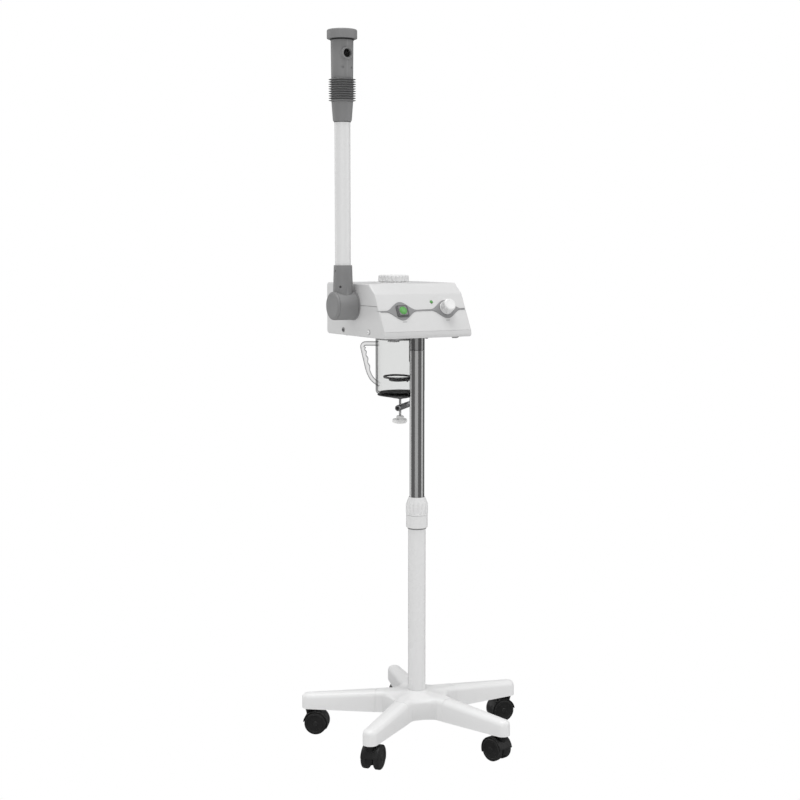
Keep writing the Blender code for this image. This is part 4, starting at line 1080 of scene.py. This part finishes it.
def build_controls():
    stands_for("wave_band", band_mesh(), TRIM, "head", on_panel(0, 0))
    button_at = on_panel(BUTTON_X, BUTTON_UP)
    stands_for("button_bezel", bezel_mesh(), BEZEL_GREY, "head",
               button_at @ at(0, 0, BAND_TOP + GAP))
    stands_for("power_button", button_mesh(), GREY, "button", button_at)
    stands_for("button_lens", lens_mesh(), GREEN, "button", button_at)
    led = turned([(0, -0.004), (LED_R, -0.004), (LED_R, 0.0003), (0.0033, 0.0009), (0.0027, 0.0014),
                  (0.0018, 0.0018), (0.0009, 0.0020), (0, 0.0021)], 40)
    stands_for("indicator_lens", led, GREEN_LED, "head", on_panel(LED_X, LED_UP))
    stands_for("timer_knob", knob_mesh(), KNOB, "knob", on_panel(KNOB_X, KNOB_UP))
    # Dark silicone ring round the foot of the knob: a painted contact shadow.
    knob_shadow_in, knob_shadow_out = SHAFT_HOLE_R + 0.0006, 0.0160
    washer_and_shade_ring = turned(raised(BAND_TOP, ((knob_shadow_in, 0.0001), (knob_shadow_out, 0.0001), (knob_shadow_out, 0.0002),
                                      (knob_shadow_in, 0.0002))), 64)
    shown("knob_shadow_ring", washer_and_shade_ring, SILICONE, "head", place=on_panel(KNOB_X, KNOB_UP))
    for name, x, up in (("mark_power", -0.0515, 0.0235), ("mark_timer", 0.0552, 0.0250)):
        mark = prism(rounded_rectangle(0.0050, 0.0008, 0.0007, steps=4), 0.00002, 0.00012)
        shown(name, mark, PRINT, "head", place=on_panel(x, up))


def screw_mesh(radius, height):
    """Round-head screw with a cross recess, standing on z = 0."""
    head = turned([(radius * out, height * up) for out, up in ((0, 0), (1, 0), (1, 0.25), (0.92, 0.55),
                                                               (0.72, 0.84), (0.4, 0.98), (0, 1))], 40)
    bars = [prism(rounded_rectangle(*half, 0.0002, steps=2), height * 0.45, height * 2)
            for half in ((radius * 0.55, radius * 0.13), (radius * 0.13, radius * 0.55))]
    return carved(head, cut=bars)


def build_inlet():
    """Mains socket in the back: frame, three pins and two screws."""
    back = HOUSE_BACK + GAP
    frame_part = prism(rounded_rectangle(0.0240, 0.0140, 0.003, INLET), -back - 0.003, -back)
    body = prism(rounded_rectangle(0.0142, 0.0102, 0.002, INLET), -back - 0.001, -back + 0.022)
    well = prism(rounded_rectangle(0.0118, 0.0078, 0.002, INLET), -back - 0.01, -back + 0.0165)
    inlet = carved(softened(frame_part, 0.0007), add=(body,), cut=(well,))
    stands_for("power_inlet", moved(inlet, turn=(90, 0, 0)), BLACK, "head")
    for i, x in enumerate((-0.007, 0.0, 0.007)):
        pin = softened(prism(rounded_rectangle(0.0010, 0.0020, 0.0003, (INLET[0] + x, INLET[1]), 2),
                             -back + 0.004, -back + 0.017), 0.0003)
        shown(f"inlet_pin_{i + 1}", moved(pin, turn=(90, 0, 0)), STEEL, "head")
    for i, x in enumerate((-0.0195, 0.0195)):
        screw = moved(screw_mesh(0.0024, 0.0012), (INLET[0] + x, back + 0.0029, INLET[1]), (-90, 0, 0))
        shown(f"inlet_screw_{i + 1}", screw, STEEL, "head")


# Places of the rubber pads and of the screws under the housing, as x and y.
PADS = ((-0.072, -0.037), (0.072, -0.037), (-0.072, 0.180), (0.072, 0.180))
BASE_SCREWS = ((-0.083, -0.030), (0.002, -0.036), (0.083, -0.030), (-0.090, 0.150), (0.090, 0.150))


def build_housing():
    upper_holes = (upright_hole(0.0235, 0, FILL_Y, HOUSE_ROOF),)
    stands_for("housing_lower", lower_shell(), WHITE, "head")
    stands_for("housing_upper", housing_shell(True, upper_holes), WHITE, "head")
    shown("joint_tongue", joint_strip(), GASKET, "head")
    build_controls()
    # Dark ring under each side screw: painted shade round the foot of the screw's head.
    washer_and_shade_ring = turned([(0, -0.0002), (0.0058, -0.0002), (0.0058, 0.0002), (0.0054, 0.0004),
                     (0, 0.0004)], 40)
    for end, material, radius in (("front", KNOB, 0.0048), ("rear", DARK_SCREW, 0.0040)):
        name = f"side_screw_{end}"
        centre = middle(name) - COLUMN
        spot = at(-HOUSE_HALF - GAP, centre.y, centre.z) @ OUT_LEFT
        stands_for(name, screw_mesh(radius, 0.0028), material, "head", spot)
        shown(f"{name}_washer", washer_and_shade_ring, GASKET, "head", place=spot)
    build_inlet()
    foot = turned([(0, -0.0030), (0.0056, -0.0030), (0.0062, -0.0025), (0.0068, -0.0006), (0.0070, 0.0),
                   (0, 0.0)], 40)
    under = HOUSE_LOW + 0.0001
    for i, (x, y) in enumerate(PADS):
        shown(f"rubber_pad_{i + 1}", foot, GASKET, "head", place=at(x, y, under))
    turn = Matrix.Rotation(pi, 4, "X")
    for i, (x, y) in enumerate(BASE_SCREWS):
        shown(f"base_screw_{i + 1}", screw_mesh(0.0038, 0.0024), STEEL, "head",
              place=at(x, y, under) @ turn)


# ---------------------------------------------------------------- water and steam

def fill_cap_mesh():
    """Fluted lid with a rounded top edge and a shallow dish."""
    low = span("fill_cap")[1].z - 0.0143
    cap = fluted(low, ((0.0326, 0, 0), (0.0332, 0.0004, 0.0004), (0.0337, 0.0012, 0.0021),
                       (0.0333, 0.0108, 0.0021), (0.0332, 0.0118, 0.0014), (0.0328, 0.0126, 0.0006),
                       (0.0322, 0.0131, 0), (0.0312, 0.0135, 0), (0.0296, 0.0139, 0), (0.0274, 0.0142, 0),
                       (0.0258, 0.0143, 0), (0.0246, 0.0138, 0), (0.0160, 0.0136, 0), (0.0010, 0.0136, 0)),
                 24, 8, sharpness=2.2)
    plug = turned(raised(low, ((0, -0.012), (0.0192, -0.012), (0.0198, -0.0114), (0.0198, 0.002),
                               (0, 0.002))))
    return moved(carved(cap, add=(plug,)), offset=(0, FILL_Y, 0))


def fill_neck_mesh():
    """Funnel under the lid, with the flange that lies on the top shell."""
    foot = 0.864
    flange = raised(HOUSE_TOP, ((0.0230, 0), (0.0262, GAP), (0.0262, 0.0016), (0.0256, 0.0022),
                                (0.0205, 0.0022)))
    return turned([(0.0105, foot), (0.0130, foot), (0.0130, 0.945), (0.0230, 0.970), *flange,
                   (0.0205, 0.971), (0.0105, 0.946)], 72, (0, FILL_Y))


def raised_rim():
    """Shallow step in the top shell round the lid."""
    return turned(raised(HOUSE_TOP, ((0.0238, -0.0005), (0.0420, -0.0005), (0.0420, 0.0001),
                                     (0.0412, 0.0009), (0.0400, 0.0012), (0.0272, 0.0012),
                                     (0.0268, 0.0008), (0.0268, 0.0004), (0.0238, 0.0004))),
                  96, (0, FILL_Y))


def coil_mesh():
    """Two turns of heating tube, with its lead rising to the terminal."""
    turns = []
    for i in range(97):
        share = i / 96
        angle = radians(-30) - tau * 2.0 * share
        radius = COIL_R - 0.0255 * share
        x = radius * cos(angle)
        y = radius * sin(angle)
        turns.append((x, JAR_Y + y, COIL_Z - 0.0135 * share + COIL_TILT * (x + 1.7 * y)))
    rise = [(*TERMINAL, 0.835), (0.0215, 0.0555, 0.818), (0.0265, 0.0545, 0.797)]
    tube = swept([(*TERMINAL, 0.860), *smooth_path([*rise, turns[0]], 10)[:-1], *turns], 0.0022, 16)
    low, high = 0.8225, 0.888
    terminal = turned([(0, low), (0.0055, low), (0.0065, low + 0.001), (0.0065, 0.8700), (0.0112, 0.8705),
                       (0.0120, 0.8713), (0.0120, high), (0, high)], 48, TERMINAL)
    return carved(tube, add=(terminal,))


def grip_path():
    """Middle of the jar's grip, from the rim out and back to the wall."""
    return smooth_path([(-out, JAR_Y, z) for out, z in (
        (0.0525, 0.8640), (0.0660, 0.8645), (0.0790, 0.8650), (0.0870, 0.8650), (0.0920, 0.8633),
        (0.0938, 0.8585), (0.0915, 0.8480), (0.0865, 0.8290), (0.0800, 0.8060), (0.0700, 0.7880),
        (0.0525, 0.7745))], 8)


def jar_mesh():
    """Glass jar: thick rounded foot, thin wall, rolled rim, and a grip with finger rests."""
    foot = 0.008
    floor = JAR_LOW + 0.0032
    outer = [(0, JAR_LOW + 0.0006), (0.030, JAR_LOW + 0.0004), (JAR_R - foot, JAR_LOW)]
    outer += arc((JAR_R - foot, JAR_LOW + foot), foot, -80, 0, 9)
    half_wall = (JAR_R - JAR_IN_R) / 2
    rim = arc((JAR_IN_R + half_wall, JAR_RIM - half_wall), half_wall, 0, 180, 8)
    inner_foot = 0.006
    inside = [(JAR_IN_R, floor + inner_foot)]
    inside += arc((JAR_IN_R - inner_foot, floor + inner_foot), inner_foot, -10, -90, 8)
    wall = turned(outer + rim + inside + [(0, floor + 0.0004)], 128, (0, JAR_Y), 50)
    bumps = 4

    def finger_rests(share, way):
        """Swell the inner side of the grip between the fingers."""
        start, end = 0.50, 0.80
        if not start < share < end:
            return 0.0
        inward = max(way.x, 0.0)
        place = (share - start) / (end - start) * bumps
        return 0.0028 * inward * sin(pi * place) ** 2

    grip = swept(grip_path(), 0.0045, 20, 1.2, finger_rests)
    return carved(wall, add=(grip,), smooth_deg=50)


def plate_mesh():
    """Round plate under the jar: shallow cone with a lip and a centre boss."""
    below = raised(PLATE_APEX, ((0, 0), (0.0052, 0), (0.0062, 0.0006), (0.0150, 0.0024), (0.0152, 0.0020),
                                (0.0165, 0.0022), (0.0168, 0.0027), (0.0478, 0.0081), (0.0494, 0.0087),
                                (0.0500, 0.0094), (0.0500, 0.0102), (0.0494, 0.0107)))
    return turned([*below, (0.0445, JAR_LOW - GAP), (0, JAR_LOW - GAP)], 96, (0, JAR_Y))


def threaded(radius, low, high, pitch=0.0012, depth=0.00035):
    """Screw thread as a stack of ridges between plain ends."""
    profile = [(0, low), (radius - depth, low)]
    count = int((high - low - 0.001) / pitch)
    for i in range(count):
        z = low + 0.0005 + i * pitch
        profile += [(radius - depth, z), (radius, z + pitch * 0.5)]
    profile += [(radius - depth, high - 0.0004), (radius - 2 * depth, high), (0, high)]
    return profile


def star_knob_mesh():
    """Five-lobed grip with a domed underside, a collar and a hole for the screw."""
    low = 0.6858
    lobes = 5
    count = lobes * 20
    middle_r = 0.0146
    outline = [middle_r + 0.0026 * cos(lobes * tau * i / count) for i in range(count)]

    def ring(share, z, lobe_share=1.0):
        made = []
        for i, r in enumerate(outline):
            reach = share * (middle_r + (r - middle_r) * lobe_share)
            made.append((reach * cos(tau * i / count), reach * sin(tau * i / count), low + z))
        return made

    grip = loft([ring(*level) for level in (
        (0.10, 0, 0), (0.45, 0.0002, 0.2), (0.70, 0.0008, 0.6), (0.86, 0.0017, 0.9), (0.96, 0.0031),
        (1.0, 0.0048), (1.0, 0.0080), (0.97, 0.0094), (0.90, 0.0105), (0.78, 0.0112, 0.8),
        (0.55, 0.0116, 0.4))])
    collar = turned(raised(low, ((0, 0.0097), (0.0090, 0.0097), (0.0086, 0.0132), (0.0086, 0.0154),
                                 (0.0080, 0.0164), (0.0068, 0.0170), (0.0066, 0.0177), (0, 0.0177))), 48)
    hole_r = SCREW_R + GAP
    hole = turned(raised(low, ((0, 0.0064), (hole_r, 0.0064), (hole_r, 0.0242), (0, 0.0242))), 32)
    return carved(grip, add=(collar,), cut=(hole,))


def clamp_arm_mesh(length):
    """Cross rod with a ribbed sleeve, rounded ends and a boss on the post."""
    r = CLAMP_ROD_R
    end = length + CLAMP_BEYOND
    profile = [(0, 0.0), (r - 0.0012, 0.0), (r - 0.0012, 0.010)]
    pitch = 0.0024
    for i in range(24):
        z = 0.0115 + i * pitch
        profile += [(r - 0.0008, z), (r - 0.0001, z + pitch * 0.35), (r - 0.0001, z + pitch * 0.65)]
    profile += [(r - 0.0008, 0.0700), (r - 0.0002, 0.0708), (r, 0.0716), (r, end - 0.0012),
                (r - 0.0004, end - 0.0004), (r - 0.0012, end), (r - 0.0024, end),
                (r - 0.0026, end - 0.0006), (0, end - 0.0006)]
    rod = moved(turned(profile, 40), (0, 0, CLAMP_Z), (0, 90, 0))
    boss = pipe(0, 0.0070, CLAMP_Z - 0.0085, CLAMP_Z + 0.0085, 0.0006, steps=48)
    holes = (prism(disc(POST_R + GAP, 40), 0.6, 0.8),
             prism(disc(SCREW_R + GAP, 32, (length, 0)), 0.6, 0.8))
    return carved(rod, add=(boss,), cut=holes)


def build_water_way():
    stands_for("fill_cap", fill_cap_mesh(), KNOB, "fill_lid")
    stands_for("fill_neck", fill_neck_mesh(), WHITE, "head")
    shown("lid_seat", raised_rim(), WHITE, "head")
    stands_for("heater_coil", coil_mesh(), HEATER, "head")
    jar = stands_for("jar", jar_mesh(), GLASS, "jar")
    jar.data.materials.append(GRIP_GLASS)
    for face in jar.data.polygons:
        face.material_index = int(face.center.x < -JAR_R - GAP)
    # Black disc on the jar's floor: painted shade that stands for the dark plate seen through the glass
    # bottom.
    painted_shade_disc = turned(raised(JAR_LOW + 0.0036, ((0, 0), (0.0436, 0), (0.0442, 0.0004), (0.0438, 0.0012),
                                           (0.0390, 0.0014), (0, 0.0014))), 96, (0, JAR_Y))
    shown("jar_floor_painted_shade", painted_shade_disc, BLACK, "jar")
    stands_for("jar_plate", plate_mesh(), GLOSS_BLACK, "jar")
    reach = Vector((-CLAMP_X, JAR_Y - CLAMP_Y, 0))
    post = at(CLAMP_X, CLAMP_Y, 0)
    low, top = span("clamp_post")[0].z, HOUSE_LOW - GAP
    flange_low = 0.8775
    rod = turned([(0, low), (POST_R - 0.0005, low), (POST_R, low + 0.0005), (POST_R, flange_low),
                  (0.0080, flange_low), (0.0085, flange_low + 0.0005), (0.0085, top), (0, top)], 48)
    stands_for("clamp_post", rod, STEEL, "head", post)
    swing = post @ Matrix.Rotation(atan2(reach.y, reach.x), 4, "Z")
    stands_for("clamp_arm", clamp_arm_mesh(reach.length), STEEL, "clamp", swing)
    face = reach.length + CLAMP_BEYOND - 0.0006
    plug = turned(raised(face, ((0, 0), (0.0036, 0), (0.0036, 0.0003), (0.0030, 0.0005), (0, 0.0005))))
    plug = moved(plug, (0, 0, CLAMP_Z), (0, 90, 0))
    shown("clamp_arm_plug", plug, BLACK, "clamp", place=swing)
    screw_low, screw_top = (corner.z for corner in span("clamp_screw"))
    screw = turned(threaded(SCREW_R, screw_low, screw_top), 32, smooth_deg=20)
    below_jar = at(0, JAR_Y, 0)
    stands_for("clamp_screw", screw, PALE_ZINC, "screw", below_jar)
    stands_for("clamp_knob", star_knob_mesh(), FROSTED, "screw_knob", below_jar)


# ---------------------------------------------------------------- steam arm

def elbow_mesh():
    """Pivot barrel across the arm, and the neck that holds the arm's tube."""
    inner_end = -HOUSE_HALF - 0.0034 - ARM_X
    outer_end = BARREL_OUT - ARM_X
    barrel = [(0, outer_end), (BARREL_R - 0.0009, outer_end), (BARREL_R - 0.0003, outer_end + 0.0006),
              (BARREL_R, 0), (BARREL_R + 0.0004, inner_end - 0.0012),
              (BARREL_R + 0.0001, inner_end - 0.0003), (BARREL_R - 0.0006, inner_end), (0, inner_end)]
    barrel = moved(turned(barrel, 96), turn=(0, 90, 0))
    top = NECK_TOP - PIVOT_Z
    neck = turned([(0, 0), (0.0213, 0), (0.0213, 0.032), (0.0209, 0.045), (0.0204, 0.062),
                   (0.0197, top - 0.0008), (0.0193, top - 0.0002), (0.0186, top), (0, top)], 72)
    pipe_hole = sideways(disc(0.0138, 48), outer_end + 0.004, inner_end + 0.01)
    steam_hole = prism(disc(0.0125, 48), -0.001, 0.060)
    tube_hole = prism(disc(TUBE_R + GAP, 72), 0.0555, 0.1)
    recess = moved(sideways(disc(0.0026, 32), 0.0165, 0.03), *NECK_SCREW)
    notch = sideways(rounded_rectangle(0.0022, 0.0016, 0.0012, steps=4), 0.0180, 0.03)
    notch = moved(notch, (0, 0, 0.0745), (0, 0, 186))
    return carved(barrel, add=(neck,), cut=(pipe_hole, steam_hole, tube_hole, recess, notch),
                  smooth_deg=30)


def recess_screw():
    """Screw at the bottom of the neck's recess."""
    return moved(moved(screw_mesh(0.0023, 0.0012), (0.0170, 0, 0), (0, 90, 0)), *NECK_SCREW)


def cone_mesh():
    """Slim cone on the end of the arm's tube."""
    length = CONE_TOP - CONE_LOW
    stop = 0.012
    return turned([(0.0150, stop), (TUBE_R + GAP, stop), (TUBE_R + GAP, GAP), (0.0176, 0.0),
                   (0.0187, 0.0004), (0.0195, 0.0016), (0.0201, 0.0034), (0.0228, length - 0.0022),
                   (0.0230, length - 0.0008), (0.0226, length), (0.0170, length)], 72)


def bellows_mesh():
    """Ten thin soft ridges between the cone and the nozzle, with round valleys."""
    ridges = 10
    per_ridge = 10
    pitch = (BELLOWS_TOP - BELLOWS_LOW) / ridges
    outer = []
    inner = []
    for i in range(ridges * per_ridge + 1):
        share = i / per_ridge % 1.0
        z = BELLOWS_LOW + pitch * i / per_ridge
        peak = (1 - abs(2 * share - 1)) ** 1.3
        outer.append((0.0222 + 0.0068 * peak, z))
        inner.append((0.0190 + 0.0040 * peak, z))
    return turned(outer + inner[::-1], 72, (ARM_X, ARM_Y), 60)


def nozzle_mesh():
    """Nozzle body with a raised steam outlet facing the front."""
    height = NOZZLE_TOP - BELLOWS_TOP
    body = turned([(0.0190, 0), (0.0224, 0), (0.0230, 0.0005), (0.0232, 0.0014), (0.0240, height - 0.0010),
                   (0.0237, height - 0.0003), (0.0232, height), (0.0205, height), (0.0200, 0.010),
                   (0.0190, 0.008)], 96)
    rise = OUTLET_Z - BELLOWS_TOP
    ring = turned([(0, 0.0205), (0.0150, 0.0205), (0.0141, 0.0225), (0.0136, 0.0240), (0.0134, 0.0250),
                   (0.0130, 0.0257), (0.0122, 0.0262), (0.0108, 0.0262), (0.0100, 0.0258), (0.0092, 0.0240),
                   (0, 0.0240)], 64)
    hole = moved(prism(disc(0.0090, 64), 0.010, 0.04), (0, 0, rise), (90, 0, 0))
    seam = facing(rounded_rectangle(0.0008, 0.0180, 0.0006, (0, height - 0.0185), 2), 0.0232, 0.0246)
    seam = moved(seam, turn=(0, 0, -22))
    dimples = [moved(facing(disc(0.0024, 24), 0.0222, 0.03), (0, 0, 0.0215), (0, 0, heading))
               for heading in (-24, 30)]
    outlet = moved(ring, (0, 0, rise), (90, 0, 0))
    return carved(body, add=(outlet, seam), cut=(hole, *dimples), smooth_deg=30)


def nozzle_cap_mesh():
    """Lid with a deep rounded edge, a low dome and a plug inside the nozzle."""
    below = raised(NOZZLE_TOP - BELLOWS_TOP + GAP, ((0, -0.006), (0.0196, -0.006), (0.0202, -0.0054),
                                                    (0.0202, 0), (0.0308, 0), (0.0316, 0.0004),
                                                    (0.0320, 0.0014)))
    above = raised(TOTAL_TOP - BELLOWS_TOP, ((0.0320, -0.0034), (0.0318, -0.0024), (0.0312, -0.0015),
                                             (0.0303, -0.0009), (0.0290, -0.0006), (0.0200, -0.0002),
                                             (0.0090, 0), (0, 0)))
    return turned(below + above, 96)


def build_arm():
    boss = turned([(0.0100, 0.0035), (0.0100, 0.0400), (0.0132, 0.0400), (0.0132, 0.0028), (0.0306, 0.0028),
                   (0.0314, 0.0022), (0.0318, 0.0006), (0.0318, 0.0), (0.0144, 0.0), (0.0144, -0.0060),
                   (0.0085, -0.0060), (0.0085, 0.0035)], 72)
    stands_for("pivot_boss", boss, GREY, "head",
               at(-HOUSE_HALF - GAP, ARM_Y, PIVOT_Z) @ OUT_LEFT)
    pivot = at(ARM_X, ARM_Y, PIVOT_Z)
    stands_for("elbow", elbow_mesh(), GREY, "arm", pivot)
    shown("neck_screw", recess_screw(), DARK_SCREW, "arm", place=pivot)
    cap = turned([(0, 0), (0.0296, 0), (0.0300, 0.0004), (0.0300, 0.0022), (0.0297, 0.0032),
                  (0.0289, 0.0042), (0.0276, 0.0049), (0.0258, 0.0053), (0.0240, 0.0054), (0.0236, 0.0051),
                  (0.0060, 0.0051), (0, 0.0051)], 96)
    stands_for("elbow_cap", cap, GREY, "arm",
               at(BARREL_OUT - GAP, ARM_Y, PIVOT_Z) @ OUT_LEFT)
    low, high = (corner.z - PIVOT_Z for corner in span("arm_tube"))
    stands_for("arm_tube", pipe(0.0148, TUBE_R, low, high), PAINT, "arm", pivot)
    tip = at(ARM_X, ARM_Y, CONE_LOW)
    bend = at(ARM_X, ARM_Y, BELLOWS_TOP)
    stands_for("nozzle_cone", cone_mesh(), GREY, "nozzle", tip)
    stands_for("nozzle_body", nozzle_mesh(), GREY, "nozzle_head", bend)
    stands_for("nozzle_cap", nozzle_cap_mesh(), GREY, "nozzle_lid", bend)
    lid = NOZZLE_TOP - BELLOWS_TOP
    # Black band just below the lid: a painted shadow under the lid's edge.
    nozzle_shadow_band = pipe(0.0241, 0.0254, lid - 0.0026, lid - 0.0001)
    shown("nozzle_shadow_band", nozzle_shadow_band, BLACK, "nozzle_head", place=bend)
    # Dark band just below the cone: painted shade under the cone's lip.
    cone_shadow_band = pipe(TUBE_R + GAP, 0.0178, -0.0016, -0.0001)
    shown("cone_shadow_band", cone_shadow_band, BEZEL_GREY, "nozzle", place=tip)
    bellows = linked("bellows_finished", bellows_mesh())
    bellows.data.materials.append(SILICONE)
    bellows.location = COLUMN
    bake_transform(bellows)
    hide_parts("bellows")


# ---------------------------------------------------------------- studio

def by_ray(tree, values):
    """Sum of light-path outputs, each times its value."""
    path = tree.nodes.new("ShaderNodeLightPath")
    total = 0.0
    for output, value in values:
        part = node(tree, "Math", {1: value, 2: total, 0: path.outputs[output]}, operation="MULTIPLY_ADD")
        total = part.outputs["Value"]
    return total


def studio_world():
    """White behind the object, softer as a light, and dark in reflections, as between black flags."""
    world = bpy.data.worlds.new("studio")
    bpy.context.scene.world = world
    world.use_nodes = True
    tree = world.node_tree
    strength = by_ray(tree, (("Is Camera Ray", 1.0), ("Is Transmission Ray", 1.0),
                             ("Is Diffuse Ray", WORLD_LIGHT), ("Is Glossy Ray", WORLD_REFLECTED)))
    tree.links.new(strength, tree.nodes["Background"].inputs["Strength"])
    tree.nodes["Background"].inputs["Color"].default_value = (1, 1, 1, 1)


def studio_floor():
    """Pale floor: evenly white where it is seen, lit where it lights the object, dark in mirrors."""
    size = 60.0
    mesh = bpy.data.meshes.new("floor")
    mesh.from_pydata([(-size, -size, 0), (size, -size, 0), (size, size, 0), (-size, size, 0)], [],
                     [(0, 1, 2, 3)])
    floor = linked("floor", mesh)
    pale = surface("pale_floor", 0.80, 0.9, mottle=0.01, mottle_size=0.8, grain_depth=0.0,
                   more={"Emission Color": (1, 1, 1, 1), "Specular IOR Level": 0.0,
                         "Emission Strength": FLOOR_LIGHT})
    tree = pale.node_tree
    even = tree.nodes.new("ShaderNodeEmission")
    glow = by_ray(tree, (("Is Camera Ray", FLOOR_SEEN),
                         ("Is Transmission Ray", FLOOR_SEEN - FLOOR_REFLECTED),
                         ("Is Glossy Ray", FLOOR_REFLECTED)))
    tree.links.new(glow, even.inputs["Strength"])
    lighting = by_ray(tree, (("Is Diffuse Ray", 1.0),))
    show_mix(tree, lighting, even.outputs["Emission"], shader_of(pale).outputs["BSDF"])
    mesh.materials.append(pale)


def reflection_card(name, heading, width, strength):
    """Upright card round the object that only mirrors see, as a photographer's flags and panels."""
    height = 2.4
    distance = 2.3
    mesh = bpy.data.meshes.new(name)
    half = width / 2
    mesh.from_pydata([(-half, 0, 0.01), (half, 0, 0.01), (half, 0, height), (-half, 0, height)], [],
                     [(0, 1, 2, 3)])
    card = linked(name, mesh)
    way = Vector((*heading, 0)).normalized()
    card.location = COLUMN + way * distance
    card.rotation_euler = (0, 0, atan2(way.y, way.x) + pi / 2)
    glow = bpy.data.materials.new(name)
    glow.use_nodes = True
    tree = glow.node_tree
    tree.nodes.clear()
    lit = node(tree, "Emission", {"Strength": strength})
    node(tree, "OutputMaterial", {"Surface": lit.outputs["Emission"]})
    mesh.materials.append(glow)
    for ray in ("camera", "diffuse", "transmission", "shadow"):
        setattr(card, f"visible_{ray}", False)


def studio():
    bpy.context.scene.view_settings.view_transform = "Standard"
    studio_world()
    studio_floor()
    for name, heading, width, strength in CARDS:
        reflection_card(name, heading, width, strength)
    for name, place, size, power in LAMPS:
        lamp = bpy.data.lights.new(name, "AREA")
        lamp.shape = "RECTANGLE"
        lamp.size, lamp.size_y = size
        lamp.energy = power
        made = linked(name, lamp)
        made.location = place
        made.rotation_euler = (LAMP_AIM - Vector(place)).to_track_quat("-Z", "Y").to_euler()


def camera():
    """Eye-level view from the front left, turned a little down."""
    lens = bpy.data.cameras.new("camera")
    lens.sensor_width = 36.0
    lens.lens = CAMERA_LENS
    made = linked("camera", lens)
    made.location = COLUMN + CAMERA_PLACE
    made.rotation_euler = (radians(CAMERA_PITCH), 0, radians(CAMERA_HEADING))
    bpy.context.scene.camera = made


CAMERA_PLACE = Vector((-1.5938, -2.6950, 1.0805))    # solved from the photo's perspective
CAMERA_PITCH = 83.877
CAMERA_HEADING = -29.928
CAMERA_LENS = 65.82
WORLD_LIGHT = 0.60
WORLD_REFLECTED = 0.17
FLOOR_SEEN = 1.0
FLOOR_LIGHT = 0.05
FLOOR_REFLECTED = 0.18
# Name, heading, width and strength of a card; name, place, size and power of a lamp.
CARDS = (("card_left", (-0.629, -0.777), 2.1, 0.66), ("card_right", (0.829, -0.558), 1.1, 0.95),
         ("card_back", (-0.481, 0.871), 1.6, 1.0))
LAMP_AIM = Vector((0, 0, 0.8))
LAMPS = (("key", (2.6, -3.4, 5.0), (3.0, 3.0), 35.0),
         ("top", (-0.6, 0.0, 8.0), (4.5, 4.5), 320.0),
         ("fill", (-2.2, -2.6, 1.4), (1.2, 1.8), 3.0))


# ---------------------------------------------------------------- build

build_stand()
build_castors()
build_column()
build_housing()
build_water_way()
build_arm()
for node_name, finish_given in (("timer_unit", STEEL), ("control_board", CIRCUIT), ("jar_neck", GASKET),
                                ("steam_duct", SILICONE)):
    dressed(node_name, finish_given)
studio()
camera()
